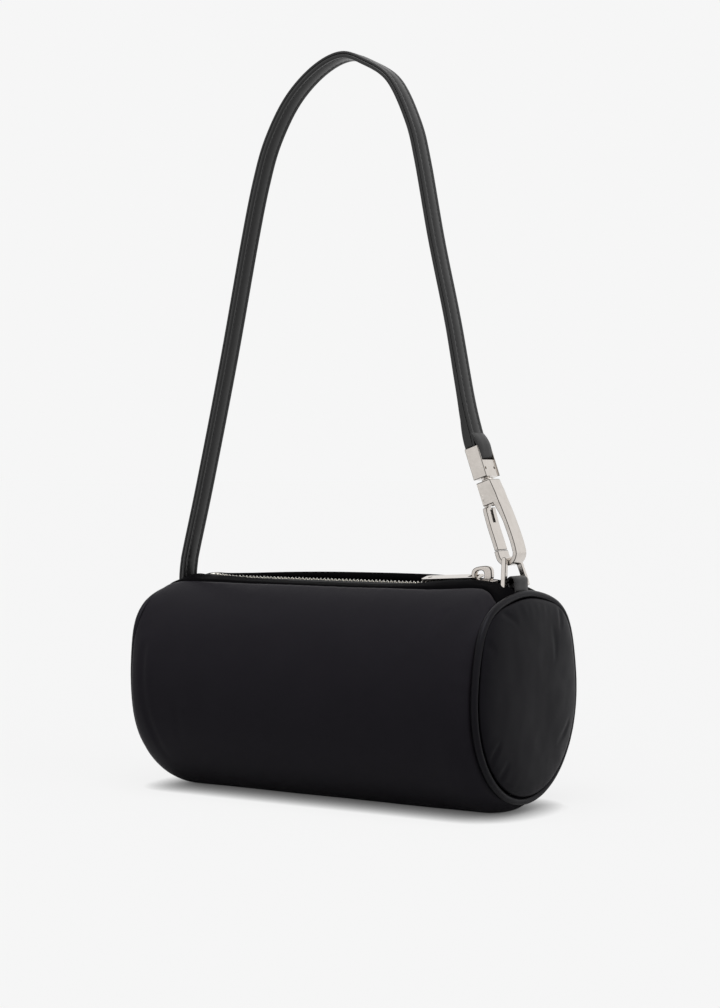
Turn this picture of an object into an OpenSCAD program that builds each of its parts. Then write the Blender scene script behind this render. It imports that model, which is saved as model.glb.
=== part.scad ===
// Small barrel bag: padded nylon barrel with piped ends, a top zip and a leather strap
// that is sewn in at one end and clipped to a ring at the other.
// X runs along the barrel, Y from front to back, Z up. The origin is under the middle of the bag.

/* [Barrel] */
// Length of the barrel between the planes of its two piped seams
barrel_l = 218; // [180:1:300]
// Radius of the stuffed barrel
barrel_r = 60.5; // [54:0.5:72]
// How far the resting barrel is pressed flat underneath
rest_flat = 1.3; // [0.8:0.1:2]
// Length of the rounded shoulder at each end
shoulder_l = 14.3; // [11:0.1:18]
// Drop of the rounded shoulder down to the end seam
shoulder_drop = 8.8; // [7.5:0.1:10]
// Bulge of each round end panel
end_bulge = 6; // [5:0.5:10]
// Width of the seam allowance that stands inward at each end
allowance_w = 5.7; // [5:0.1:8]

/* [Layers] */
// Thickness of the backed nylon
fabric_t = 1; // [0.8:0.1:1.2]
// Thickness of the foam interlining
foam_t = 2.5; // [2:0.1:3.2]
// Thickness of the lining
lining_t = 0.6; // [0.4:0.1:0.8]
// Clearance between two layers
layer_gap = 0.1; // [0.05:0.05:0.2]

/* [Piping] */
// Radius of the covered piping
piping_r = 2.2; // [1.8:0.1:2.6]
// Thickness of the bias strip round the piping cord
piping_t = 0.7; // [0.5:0.1:0.9]

/* [Zip] */
// Width of the band between the two zip seams
band_w = 42; // [36:1:48]
// Distance of each end of the zip's opening from the end seam
zip_inset = 16; // [12:0.5:30]
// Gap between the folded edges of the zip facings
facing_gap = 12.4; // [12:0.1:15]
// Thickness of each padded facing at its folded edge
facing_t = 2.4; // [1.8:0.1:3]
// Rise of the puffed back facing over the round of the barrel
puff_back = 2.2; // [0.5:0.1:3]
// Rise of the puffed front facing over the round of the barrel
puff_front = 1; // [0.5:0.1:3]
// Width of each zip tape
tape_w = 10; // [9:0.1:11]
// Thickness of the zip tape
tape_t = 0.6; // [0.4:0.1:0.7]
// Spacing of the teeth along one tape
tooth_pitch = 2.4; // [2:0.1:3]
// Height of a tooth
tooth_h = 2.5; // [2:0.1:3]
// Length of a tooth across the zip
tooth_reach = 3.1; // [2.8:0.1:3.4]
// Overlap of the two rows of teeth
tooth_mesh = 1; // [0.6:0.1:1.2]

/* [Slider] */
// Length of the slider body
slider_l = 13; // [11:0.5:16]
// Width of the slider body
slider_w = 10; // [9.8:0.1:10.4]
// Thickness of the two slider plates
slider_t = 1.2; // [0.8:0.1:1.6]
// Width of the wedge that parts the two rows
wedge_w = 1.2; // [0.8:0.1:1.4]
// Length of the arched bridge on the slider
bridge_l = 12.4; // [10:0.1:12.8]
// Height of the arched bridge
bridge_h = 6.6; // [5.5:0.1:7]
// Width of the arched bridge
bridge_w = 3; // [2.4:0.1:3.4]
// Length of the pull from its pivot to its tip
pull_l = 33.7; // [24:0.1:42]
// Width of the pull
pull_w = 7.8; // [7.4:0.1:8.6]
// Thickness of the pull
pull_t = 1.5; // [1:0.1:1.6]
// Sideways roll of the resting pull, in degrees
pull_roll = 12; // [0:1:12]

/* [Ring and tab] */
// Distance of the ring's lower bar from the piped seam plane
ring_inset = 5.2; // [5:0.1:6.5]
// Outer width of the ring
ring_w = 20.6; // [19:0.1:24]
// Distance between the centres of the ring's two bars
ring_rise = 13.9; // [12:0.1:18]
// Thickness of the ring's bars
ring_bar = 2.6; // [2.2:0.1:3]
// Lean of the resting ring, in degrees
ring_lean = 14; // [8:1:18]
// Width of the leather tab that holds the ring
tab_w = 14; // [11:0.1:14.4]
// Thickness of the tab leather
tab_t = 1.5; // [1.2:0.1:2]

/* [Snap hook] */
// Length of the snap hook
hook_l = 46; // [43:0.5:54]
// Width of the hook strip
hook_w = 11; // [9:0.1:11.4]
// Thickness of the hook strip
hook_t = 2.3; // [1.8:0.1:2.8]
// Lean of the hook and yoke, in degrees
hook_lean = 19.4; // [12:0.1:24]
// Inner radius of the hook's bend
bend_r = 3.8; // [3.5:0.1:4.6]
// Depth of the solid block at the head of the hook
block_d = 8.2; // [7.6:0.1:9.4]
// Length of the solid block at the head of the hook
block_l = 12.5; // [12:0.1:15]
// Length of the nose that the gate closes on
nose_l = 3.2; // [2.5:0.1:4]
// Thickness of the gate
gate_t = 2.2; // [1.6:0.1:2.2]
// Radius of the gate pin
gate_pin_r = 0.8; // [0.6:0.05:0.9]

/* [Yoke] */
// Height of the yoke
yoke_h = 17; // [16:0.1:20]
// Depth of the yoke
yoke_d = 8; // [7.6:0.1:9.5]
// Thickness of the yoke's two side plates
yoke_t = 0.9; // [0.7:0.1:1.4]
// Height of the solid foot of the yoke
yoke_foot_h = 9; // [7:0.1:9.2]
// Radius of the pin through the strap's end loop
yoke_pin_r = 1.25; // [1:0.05:1.4]
// Gap between the hook and the yoke
swivel_gap = 1.8; // [1.6:0.1:2.4]
// Radius of the swivel post
post_r = 1.7; // [1.4:0.1:1.9]

/* [Strap] */
// Width of the strap
strap_w = 12.2; // [10:0.1:14]
// Thickness of the strap's two leathers together
strap_t = 2.6; // [2:0.1:3.2]
// Height of the strap's crown over the ground
strap_top = 404.2; // [340:1:460]
// Lean of the strap where it leaves the yoke, in degrees
strap_end_lean = 12.9; // [8:0.1:16]

/* [Hidden] */

// One overrun serves all cuts
over = 1;
// Running clearance between metal pieces
fit = 0.3;
// Clearance of a pressed or turning pin in its hole
press_gap = 0.05;
turn_gap = 0.1;
round_fn = 96;
small_fn = 32;
// Steps of each drawn curve
shoulder_steps = 8;
dome_steps = 8;
strap_steps = 5;

// Barrel: the axis, the seam planes and the round of each layer
axis_z = barrel_r - rest_flat;
seam_x = barrel_l / 2;
seam_r = barrel_r - shoulder_drop;
flange_t = 0.8;
neck_end_x = seam_x - flange_t / 2 - layer_gap;
shoulder_end_x = seam_x - piping_r - 5 * layer_gap;
shoulder_start_x = shoulder_end_x - shoulder_l;
allowance_r = seam_r - allowance_w;
foam_in = fabric_t + layer_gap;
foam_out = foam_in + foam_t;
lining_in = foam_out + layer_gap;
lining_out = lining_in + lining_t;
piping_ring_r = seam_r + piping_r + layer_gap;

// Round end panel: its rim stands just outside the piping flange
rim_x = seam_x + flange_t / 2 + layer_gap;
dome_x = rim_x + fabric_t;
// Power of the dome's curve, which keeps its middle flat and its rim steep
dome_power = 3;

// Zip: the chain's middle height and the lengths along it
half_band = band_w / 2;
half_opening = seam_x - zip_inset;
// Depth of the chain under the barrel's crown, in heights of a tooth
chain_depth_share = 1.3;
chain_z = axis_z + barrel_r - chain_depth_share * tooth_h;
tape_top_z = chain_z + tape_t / 2;
band_top_z = tape_top_z + layer_gap + fabric_t;
facing_in = facing_gap / 2;
chain_in = tooth_reach - tooth_mesh / 2;
stop_l = tooth_pitch;
chain_start_x = -half_opening + layer_gap + stop_l + fit;
chain_end_x = half_opening - layer_gap - stop_l - fit;
tooth_w = tooth_pitch / 2 - layer_gap;
tape_over = tooth_pitch;
tape_split_y = chain_in + layer_gap / 2;
tape_out_y = tape_split_y + tape_w;
// How far the wedge moves each row aside
part_y = wedge_w / 2 + fit / 2 + tooth_mesh / 2;

// Slider: closed against the top stops
slider_end_x = chain_end_x;
slider_start_x = slider_end_x - slider_l;
wedge_share = 0.27;
wedge_l = slider_l * wedge_share;
wedge_start_x = slider_end_x - wedge_l - fit;
part_start_x = wedge_start_x - 1.5 * tooth_pitch;
slider_low_z = chain_z - tooth_h / 2 - fit;
slider_high_z = chain_z + tooth_h / 2 + fit;
slider_side_y = chain_in + part_y + fit / 2;
bridge_x = (slider_start_x + slider_end_x) / 2;
bridge_wall = 2.2;
bridge_sill = 0.8;
bridge_top_z = slider_high_z + slider_t + bridge_h;
pull_bar_r = pull_t / 2;
pull_x = bridge_x - bridge_l / 2 + bridge_wall + pull_bar_r + 3 * fit;
pull_z = slider_high_z + slider_t + bridge_sill + pull_bar_r + 2 * fit;
pull_eye_l = 5.8;
pull_arm_y = bridge_w / 2 + 2 * fit;
// The tip hangs just clear of the teeth
pull_tip_z = chain_z + tooth_h / 2 + pull_t + fit;
pull_slope = asin((pull_z - pull_tip_z) / pull_l);
pull_hole_r = 1.2;

// Ring: its lower bar lies in the tab's loop and its upper bar in the hook's bend
bar_r = ring_bar / 2;
loop_r = bar_r + fit;
tab_r = loop_r + tab_t;
ring_x = seam_x - ring_inset;
crevice_x = (shoulder_end_x + seam_x - piping_r) / 2;
// Top of the shoulder under the tab's loop
function shoulder_z(x) = axis_z + seam_r
    + shoulder_drop * sqrt(1 - pow((x - shoulder_start_x) / shoulder_l, 2));
// The tab leans on the shoulder at this angle below its loop
seat_angle = 35;
ring_z = shoulder_z(ring_x - tab_r * sin(seat_angle)) + tab_r * cos(seat_angle) + fit;
upper_bar_x = ring_x - ring_rise * sin(ring_lean);
upper_bar_z = ring_z + ring_rise * cos(ring_lean);

// Hook: the ring's upper bar hangs free inside the bend
bend_out_r = bend_r + hook_t;
bend_v = 0.3;
bar_off_v = 0.2;
bar_drop_u = 0.5;
bar_in_hook_v = bend_v + bar_off_v;
bar_in_hook_u = bend_out_r - bar_drop_u;
hook_x = upper_bar_x + bar_in_hook_u * sin(hook_lean) - bar_in_hook_v * cos(hook_lean);
hook_z = upper_bar_z - bar_in_hook_u * cos(hook_lean) - bar_in_hook_v * sin(hook_lean);
block_u = hook_l - block_l;
block_v = block_d / 2;
knuckle_wall = 0.9;
pin_knuckle_r = gate_pin_r + knuckle_wall;
gate_pin_v = -block_v + pin_knuckle_r + layer_gap;
// Room between the block and the gate's shoulder
shoulder_gap = 0.9;
gate_pin_u = block_u + pin_knuckle_r + shoulder_gap;
gate_top_u = block_u - shoulder_gap;
gate_tip_u = bend_out_r + nose_l + fit;
gate_w = hook_w - 1;
gate_top_v = -block_v + gate_t / 2;
gate_tip_v = bend_v - bend_r - gate_t / 2;
// The gate's tongue takes one side of the block's slot and the spring the other
slot_y = 3.4;
tongue_y = 0.5;
spring_y = tongue_y + fit;
spring_wire = 0.7;
spring_leg_y = (spring_y + slot_y - fit) / 2;
leg_slot_w = 1.9;
leg_slot_l = 7.8;
spring_leg_l = 8.5;

// Yoke: above the hook, round the strap's end loop
yoke_u = hook_l + swivel_gap;
yoke_pin_drop = 4.5;
yoke_pin_u = yoke_u + yoke_h - yoke_pin_drop;
yoke_in_y = strap_w / 2 + fit;
yoke_out_y = yoke_in_y + yoke_t;
post_head_lip = 1.1;
post_head_r = post_r + post_head_lip;
post_head_t = 1.8;
post_depth = 5;
collar_r = 3.1;
yoke_pin_x = hook_x - yoke_pin_u * sin(hook_lean);
yoke_pin_z = hook_z + yoke_pin_u * cos(hook_lean);
screw_r = 0.65;
screw_depth = 1.6;

// Strap: its end loop round the yoke pin, its crown and its sewn base
leather_t = strap_t / 2;
eye_r = yoke_pin_r + fit;
loop_rise = 9;
loop_lap = 6;
strap_end_x = yoke_pin_x - (loop_rise + 2 * layer_gap) * sin(strap_end_lean);
strap_end_z = yoke_pin_z + (loop_rise + 2 * layer_gap) * cos(strap_end_lean);
strap_base_lean = 14;
strap_base_x = -seam_x - piping_r - layer_gap - strap_t / 2 * cos(strap_base_lean) - 1.5 * fit;
strap_base_z = axis_z + piping_ring_r - piping_r / 2;
strap_crown_z = strap_top - strap_t / 2;
// Place of the crown along the strap's span
crown_share = 0.574;
strap_crown_x = strap_base_x + crown_share * (strap_end_x - strap_base_x);
// Points of the left leg as shares of its run and its rise, from the base to the crown
left_leg_shares = [
    [0.132, 0.204], [0.282, 0.439], [0.417, 0.67], [0.492, 0.783],
    [0.564, 0.858], [0.684, 0.93], [0.842, 0.98]
];
// Points of the right leg as shares of its run and its drop, from the crown to the end
right_leg_shares = [
    [0.18, 0.024], [0.381, 0.078], [0.526, 0.186], [0.6, 0.289],
    [0.705, 0.494], [0.826, 0.699], [0.93, 0.9]
];
// The strap sways about a line through the ring's upper bar
sway_z = upper_bar_z;
sway_r = strap_w / 2;

// Colours as the photograph shows them
nylon = [0.13, 0.13, 0.15];
nylon_trim = [0.08, 0.08, 0.09];
foam_colour = [0.75, 0.74, 0.7];
lining_colour = [0.2, 0.2, 0.22];
tape_colour = [0.07, 0.07, 0.07];
leather = [0.11, 0.1, 0.1];
nickel = [0.82, 0.79, 0.75];

// Profile of the barrel from its axis out, [radius, x], inset by a depth and drawn whole
function shoulder_arc(i) = [
    for (k = [0 : shoulder_steps])
        let (a = 90 * k / shoulder_steps)
            [seam_r + (shoulder_drop - i) * sin(a), shoulder_start_x + (shoulder_l - i) * cos(a)]
];
function half_barrel(i) = concat(
    [[0, neck_end_x - i], [seam_r - i, neck_end_x - i], [seam_r - i, shoulder_end_x - i]],
    shoulder_arc(i)
);
function flip(points) = [for (k = [len(points) - 1 : -1 : 0]) [points[k][0], -points[k][1]]];
function barrel_profile(i) = concat(half_barrel(i), flip(half_barrel(i)));

// Profile of the domed end, [radius, x], inset by a depth
function dome_at(r, i) = dome_x - i + end_bulge * sqrt(1 - pow(r / seam_r, dome_power));
function dome_arc(i, r_out) = [
    for (k = [0 : dome_steps])
        let (r = r_out * sin(90 * k / dome_steps)) [r, dome_at(r, i)]
];

// Turns a profile of [radius, x] points about the barrel's axis
module barrel_turn() {
    translate([0, 0, axis_z]) rotate([0, 90, 0]) rotate_extrude($fn = round_fn) children();
}

// Everything above a height, as wide as the bag
module above(z) {
    translate([-barrel_l, -barrel_l, z]) cube([2 * barrel_l, 2 * barrel_l, 2 * barrel_l]);
}

// Solid barrel inset by a depth and flat underneath
module barrel_core(i) {
    intersection() {
        barrel_turn() polygon(barrel_profile(i));
        above(i);
    }
}

// One closed layer of the barrel with its seam allowances, open at both ends
module barrel_layer(i_out, i_in) {
    difference() {
        barrel_core(i_out);
        barrel_core(i_in);
        translate([-seam_x, 0, axis_z]) rotate([0, 90, 0])
            cylinder(r = allowance_r, h = barrel_l, $fn = round_fn);
    }
}

// Upright strip over the barrel's top, used to cut the zip's opening
module top_strip(half_w, half_l) {
    translate([-half_l, -half_w, axis_z]) cube([2 * half_l, 2 * half_w, 2 * barrel_r]);
}

module body_panel() {
    color(nylon) difference() {
        barrel_layer(0, fabric_t);
        top_strip(half_band, seam_x);
    }
}

module body_foam() {
    color(foam_colour) difference() {
        barrel_layer(foam_in, foam_out);
        top_strip(half_band, seam_x);
    }
}

module body_lining() {
    color(lining_colour) difference() {
        barrel_layer(lining_in, lining_out);
        top_strip(tape_out_y, half_opening + tape_over + layer_gap);
    }
}

// Everything under a height, as wide as the bag
module below(z) {
    translate([-barrel_l, -barrel_l, z - 2 * barrel_l]) cube(2 * barrel_l);
}

// Band of nylon that closes the top beyond one end of the zip, drawn flat over the tapes
module zip_end(side) {
    color(nylon_trim) intersection() {
        difference() {
            intersection() {
                barrel_layer(0, barrel_r - allowance_r);
                below(band_top_z);
            }
            intersection() {
                barrel_core(fabric_t);
                below(band_top_z - fabric_t);
            }
        }
        translate([side > 0 ? half_opening : -seam_x, -half_band + layer_gap, axis_z])
            cube([zip_inset, band_w - 2 * layer_gap, 2 * barrel_r]);
    }
}

module zip_end_left() { zip_end(-1); }
module zip_end_right() { zip_end(1); }

// Domed round end: the outer sheet and its seam allowance
module end_panel(side) {
    color(nylon) mirror([side > 0 ? 0 : 1, 0, 0]) barrel_turn() polygon(concat(
        dome_arc(0, seam_r),
        [[seam_r, rim_x], [allowance_r, rim_x], [allowance_r, rim_x + fabric_t]],
        [for (k = [dome_steps - 1 : -1 : 0])
            let (r = (seam_r - fabric_t) * sin(90 * k / dome_steps)) [r, dome_at(r, fabric_t)]]
    ));
}

module end_panel_left() { end_panel(-1); }
module end_panel_right() { end_panel(1); }

// Sheet that backs the round end, inside the ring of seam allowances
module end_sheet(side, i_out, i_in) {
    r_out = allowance_r - layer_gap;
    mirror([side > 0 ? 0 : 1, 0, 0]) barrel_turn() polygon(concat(
        dome_arc(i_out, r_out),
        [for (k = [dome_steps : -1 : 0])
            let (r = r_out * sin(90 * k / dome_steps)) [r, dome_at(r, i_in)]]
    ));
}

module end_foam_left() { color(foam_colour) end_sheet(-1, foam_in, foam_out); }
module end_foam_right() { color(foam_colour) end_sheet(1, foam_in, foam_out); }
module end_lining_left() { color(lining_colour) end_sheet(-1, lining_in, lining_out); }
module end_lining_right() { color(lining_colour) end_sheet(1, lining_in, lining_out); }

// Bias strip folded round the cord, with its flange in the seam
module piping(side) {
    color(nylon_trim) mirror([side > 0 ? 0 : 1, 0, 0]) barrel_turn() difference() {
        union() {
            translate([piping_ring_r, seam_x]) circle(r = piping_r, $fn = small_fn);
            translate([allowance_r, seam_x - flange_t / 2])
                square([piping_ring_r - allowance_r, flange_t]);
        }
        translate([piping_ring_r, seam_x]) circle(r = piping_r - piping_t, $fn = small_fn);
    }
}

module piping_left() { piping(-1); }
module piping_right() { piping(1); }

module piping_cord(side) {
    color("white") mirror([side > 0 ? 0 : 1, 0, 0]) barrel_turn()
        translate([piping_ring_r, seam_x])
            circle(r = piping_r - piping_t - layer_gap, $fn = small_fn);
}

module piping_cord_left() { piping_cord(-1); }
module piping_cord_right() { piping_cord(1); }

// Height of the barrel's round over a distance from the middle
function round_z(y) = axis_z + sqrt(pow(barrel_r, 2) - pow(y, 2));

// Padded facing: a puffed strip from the zip seam to a folded edge over the tape
module zip_facing(side, puff) {
    nose_r = facing_t / 2;
    nose_y = facing_in + nose_r;
    nose_z = tape_top_z + layer_gap + nose_r;
    edge_y = half_band - layer_gap;
    tape_y = tape_out_y + layer_gap;
    color(nylon_trim) rotate([90, 0, 90])
        linear_extrude(height = 2 * (half_opening - layer_gap), center = true)
            mirror([side > 0 ? 0 : 1, 0]) union() {
                translate([nose_y, nose_z]) circle(r = nose_r, $fn = small_fn);
                polygon(concat(
                    [for (k = [0 : shoulder_steps])
                        let (s = k / shoulder_steps, y = edge_y + s * (nose_y - edge_y))
                            [y, round_z(y) * (1 - pow(s, 4)) + (nose_z + nose_r) * pow(s, 4)
                                + puff * sin(180 * s)]],
                    [
                        [nose_y, nose_z - nose_r], [tape_y, nose_z - nose_r],
                        [tape_y, nose_z - nose_r - tape_t],
                        [edge_y, round_z(edge_y) - fabric_t]
                    ]
                ));
            }
}

module zip_facing_front() { zip_facing(-1, puff_front); }
module zip_facing_back() { zip_facing(1, puff_back); }

// One tape, drawn back where the slider parts the rows
module zip_tape(side) {
    tape_half = half_opening + tape_over;
    color(tape_colour) translate([0, 0, chain_z - tape_t / 2]) linear_extrude(height = tape_t)
        mirror([0, side > 0 ? 0 : 1]) polygon([
            [-tape_half, tape_split_y], [part_start_x - 1.5 * tooth_w, tape_split_y],
            [wedge_start_x - 1.5 * tooth_w, tape_split_y + part_y],
            [tape_half, tape_split_y + part_y],
            [tape_half, tape_out_y], [-tape_half, tape_out_y]
        ]);
}

module zip_tape_front() { zip_tape(-1); }
module zip_tape_back() { zip_tape(1); }

// Sideways place of a tooth, which the wedge moves outward near the closed end
function aside(x) = part_y * min(1, max(0, (x - part_start_x) / (wedge_start_x - part_start_x)));

// One row of teeth; the two rows interleave by half a pitch
module zip_teeth(side) {
    shift = side > 0 ? tooth_pitch / 2 : 0;
    color(nickel)
        for (x = [chain_start_x + shift : tooth_pitch : chain_end_x - tooth_w])
            mirror([0, side > 0 ? 0 : 1, 0])
                translate([x, aside(x + tooth_w) - tooth_mesh / 2, chain_z - tooth_h / 2])
                    cube([tooth_w, tooth_reach, tooth_h]);
}

module zip_teeth_front() { zip_teeth(-1); }
module zip_teeth_back() { zip_teeth(1); }

module zip_top_stops() {
    color(nickel) for (side = [-1, 1]) mirror([0, side > 0 ? 0 : 1, 0])
        translate([chain_end_x + fit, part_y - tooth_mesh / 2, chain_z - tooth_h / 2])
            cube([stop_l, tooth_reach, tooth_h]);
}

module zip_bottom_stop() {
    color(nickel) translate([chain_start_x - fit - stop_l, -chain_in, chain_z - tooth_h / 2])
        cube([stop_l, 2 * chain_in, tooth_h]);
}

// Slider: two plates joined by the wedge, with side flanges and an arched bridge
module zip_slider() {
    flange_gap = tape_t / 2 + fit;
    color(nickel) difference() {
        union() {
            for (z = [slider_low_z - slider_t, slider_high_z])
                translate([slider_start_x, -slider_w / 2, z])
                    cube([slider_l, slider_w, slider_t]);
            for (side = [-1, 1]) mirror([0, side > 0 ? 0 : 1, 0]) {
                translate([slider_start_x, slider_side_y, slider_low_z - slider_t])
                    cube([slider_l, slider_w / 2 - slider_side_y,
                        chain_z - flange_gap - slider_low_z + slider_t]);
                translate([slider_start_x, slider_side_y, chain_z + flange_gap])
                    cube([slider_l, slider_w / 2 - slider_side_y,
                        slider_high_z + slider_t - chain_z - flange_gap]);
            }
            translate([wedge_start_x, -wedge_w / 2, slider_low_z - slider_t])
                cube([wedge_l, wedge_w, slider_high_z - slider_low_z + 2 * slider_t]);
            slider_bridge(0);
        }
        slider_bridge(1);
    }
}

// Outline of the bridge from the side, or its window with hollow set to 1
module slider_bridge(hollow) {
    wall = hollow * bridge_wall;
    foot_z = slider_high_z + slider_t + hollow * bridge_sill - (1 - hollow) * slider_t / 2;
    top_z = bridge_top_z - hollow * bridge_wall * 0.8;
    half_l = bridge_l / 2 - wall;
    corner_r = hollow > 0 ? bridge_wall / 3 : bridge_h / 2;
    translate([bridge_x, 0, 0]) rotate([90, 0, 0])
        linear_extrude(height = bridge_w + 2 * over * hollow, center = true) union() {
            for (s = [-1, 1]) translate([s * (half_l - corner_r), top_z - corner_r])
                circle(r = corner_r, $fn = small_fn);
            translate([-half_l + corner_r, foot_z])
                square([2 * (half_l - corner_r), top_z - foot_z]);
            translate([-half_l, foot_z]) square([2 * half_l, top_z - corner_r - foot_z]);
        }
}

// Pull: a plate with an eye round the bridge's near leg and a small hole by its tip
module zip_pull() {
    arm = pull_eye_l + pull_bar_r;
    corner = pull_w / 4;
    color(nickel) translate([pull_x, 0, pull_z]) rotate([0, -pull_slope, 0])
        rotate([pull_roll, 0, 0]) union() {
            translate([0, 0, -pull_t / 2]) linear_extrude(height = pull_t) difference() {
                union() {
                    translate([-pull_l + corner, -pull_w / 2])
                        square([pull_l - corner, pull_w]);
                    translate([-pull_l, -pull_w / 2 + corner])
                        square([pull_l, pull_w - 2 * corner]);
                    for (s = [-1, 1]) translate([-pull_l + corner, s * (pull_w / 2 - corner)])
                        circle(r = corner, $fn = small_fn);
                }
                translate([-pull_eye_l, -pull_arm_y]) square([arm + over, 2 * pull_arm_y]);
                translate([-pull_l + 2 * corner, 0]) circle(r = pull_hole_r, $fn = small_fn);
            }
            rotate([90, 0, 0])
                cylinder(r = pull_bar_r, h = pull_w, center = true, $fn = small_fn);
        }
}

// Leather tab: a loop round the ring's lower bar and a foot in the seam's crevice
module ring_tab() {
    foot_z = axis_z + piping_ring_r + piping_r / 2;
    foot_half = layer_gap * 5;
    color(leather) rotate([90, 0, 0]) linear_extrude(height = tab_w, center = true) difference() {
        union() {
            translate([ring_x, ring_z]) circle(r = tab_r, $fn = small_fn);
            polygon([
                [ring_x, ring_z - tab_r * cos(20)],
                [crevice_x - foot_half, foot_z], [crevice_x + foot_half, foot_z],
                [ring_x + tab_r * cos(20), ring_z - tab_r * sin(20)]
            ]);
        }
        translate([ring_x, ring_z]) circle(r = loop_r, $fn = small_fn);
    }
}

// Rectangular ring: two round bars and two flat sides
module ring() {
    bar_l = ring_w - ring_bar;
    color(nickel) translate([ring_x, 0, ring_z]) rotate([0, -ring_lean, 0]) union() {
        for (z = [0, ring_rise]) translate([0, 0, z]) rotate([90, 0, 0])
            cylinder(r = bar_r, h = bar_l, center = true, $fn = small_fn);
        for (s = [-1, 1]) translate([-bar_r, s * (ring_w / 2 - bar_r) - bar_r, -bar_r])
            cube([ring_bar, ring_bar, ring_rise + ring_bar]);
    }
}

// Frame of the hook: X across it, Z up its length, origin under its bend
module hook_place() {
    translate([hook_x, 0, hook_z]) rotate([0, -hook_lean, 0]) children();
}

// Extrudes an outline drawn across and along the hook, over a width
module hook_strip(width) {
    rotate([90, 0, 0]) linear_extrude(height = width, center = true) children();
}

module hook_outline() {
    translate([-block_v, block_u]) square([block_d, block_l]);
    // Spine from the bend up to the block
    polygon([
        [bend_v + bend_r, bend_out_r], [bend_v + bend_out_r, bend_out_r],
        [block_v, block_u + over], [block_v - hook_t, block_u + over]
    ]);
    // Bend with its nose
    difference() {
        translate([bend_v, bend_out_r]) circle(r = bend_out_r, $fn = 2 * small_fn);
        translate([bend_v, bend_out_r]) circle(r = bend_r, $fn = 2 * small_fn);
        translate([bend_v - 2 * bend_out_r, bend_out_r])
            square([4 * bend_out_r, 2 * bend_out_r]);
    }
    translate([bend_v - bend_out_r, bend_out_r]) square([hook_t, nose_l]);
}

module hook_body() {
    color(nickel) hook_place() difference() {
        hook_strip(hook_w) hook_outline();
        // Slot for the gate's tongue and spring
        translate([-block_v - over, -slot_y, block_u - over])
            cube([gate_pin_v + pin_knuckle_r + fit + block_v + over, 2 * slot_y,
                gate_pin_u + pin_knuckle_r + fit - block_u + over]);
        translate([gate_pin_v, 0, gate_pin_u]) rotate([90, 0, 0])
            cylinder(r = gate_pin_r + press_gap, h = hook_w + over, center = true, $fn = small_fn);
        translate([0, 0, hook_l - post_depth])
            cylinder(r = post_r + press_gap, h = post_depth + over, $fn = small_fn);
    }
}

// Gate: a flat plate that closes on the nose, hung on a tongue
module gate() {
    half_t = gate_t / 2;
    color(nickel) hook_place() difference() {
        union() {
            hook_strip(gate_w) polygon([
                [gate_top_v - half_t, gate_top_u], [gate_top_v + half_t, gate_top_u],
                [gate_tip_v + half_t, gate_tip_u], [gate_tip_v - half_t, gate_tip_u]
            ]);
            translate([0, (tongue_y - slot_y + fit) / 2, 0])
                hook_strip(tongue_y + slot_y - fit) union() {
                    translate([gate_pin_v, gate_pin_u])
                        circle(r = pin_knuckle_r, $fn = small_fn);
                    translate([gate_top_v - half_t, gate_top_u - half_t])
                        square([gate_t, gate_pin_u - gate_top_u + half_t]);
                }
        }
        translate([gate_pin_v, 0, gate_pin_u]) rotate([90, 0, 0])
            cylinder(r = gate_pin_r + press_gap, h = hook_w, center = true, $fn = small_fn);
        translate([-hook_l / 2, spring_leg_y - leg_slot_w / 2, gate_top_u - leg_slot_l])
            cube([hook_l, leg_slot_w, leg_slot_l + over]);
    }
}

module gate_pin() {
    color(nickel) hook_place() translate([gate_pin_v, 0, gate_pin_u]) rotate([90, 0, 0])
        cylinder(r = gate_pin_r, h = hook_w - fit, center = true, $fn = small_fn);
}

// Torsion spring on the gate pin, with one leg down into the gate's slot
module gate_spring() {
    coil_in = gate_pin_r + 2 * press_gap;
    coil_out = coil_in + spring_wire * 0.8;
    coil_w = slot_y - spring_y - fit;
    color(nickel) hook_place() union() {
        translate([gate_pin_v, spring_y + coil_w / 2, gate_pin_u]) rotate([90, 0, 0])
            difference() {
                cylinder(r = coil_out, h = coil_w, center = true, $fn = small_fn);
                cylinder(r = coil_in, h = coil_w + over, center = true, $fn = small_fn);
            }
        translate([gate_pin_v - coil_out, spring_leg_y - spring_wire / 2,
            gate_pin_u - spring_leg_l])
            cube([(coil_out - coil_in) * 0.9, spring_wire, spring_leg_l]);
    }
}

// Swivel post: pressed in the hook's block, with a collar and a riveted head
module swivel_post() {
    collar_t = swivel_gap - 2 * fit;
    head_u = yoke_u + yoke_foot_h - post_head_t - layer_gap;
    color(nickel) hook_place() union() {
        translate([0, 0, hook_l - post_depth])
            cylinder(r = post_r, h = head_u - hook_l + post_depth, $fn = small_fn);
        translate([0, 0, hook_l + press_gap])
            cylinder(r = collar_r, h = collar_t, $fn = small_fn);
        translate([0, 0, head_u]) cylinder(r = post_head_r, h = post_head_t, $fn = small_fn);
    }
}

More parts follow.
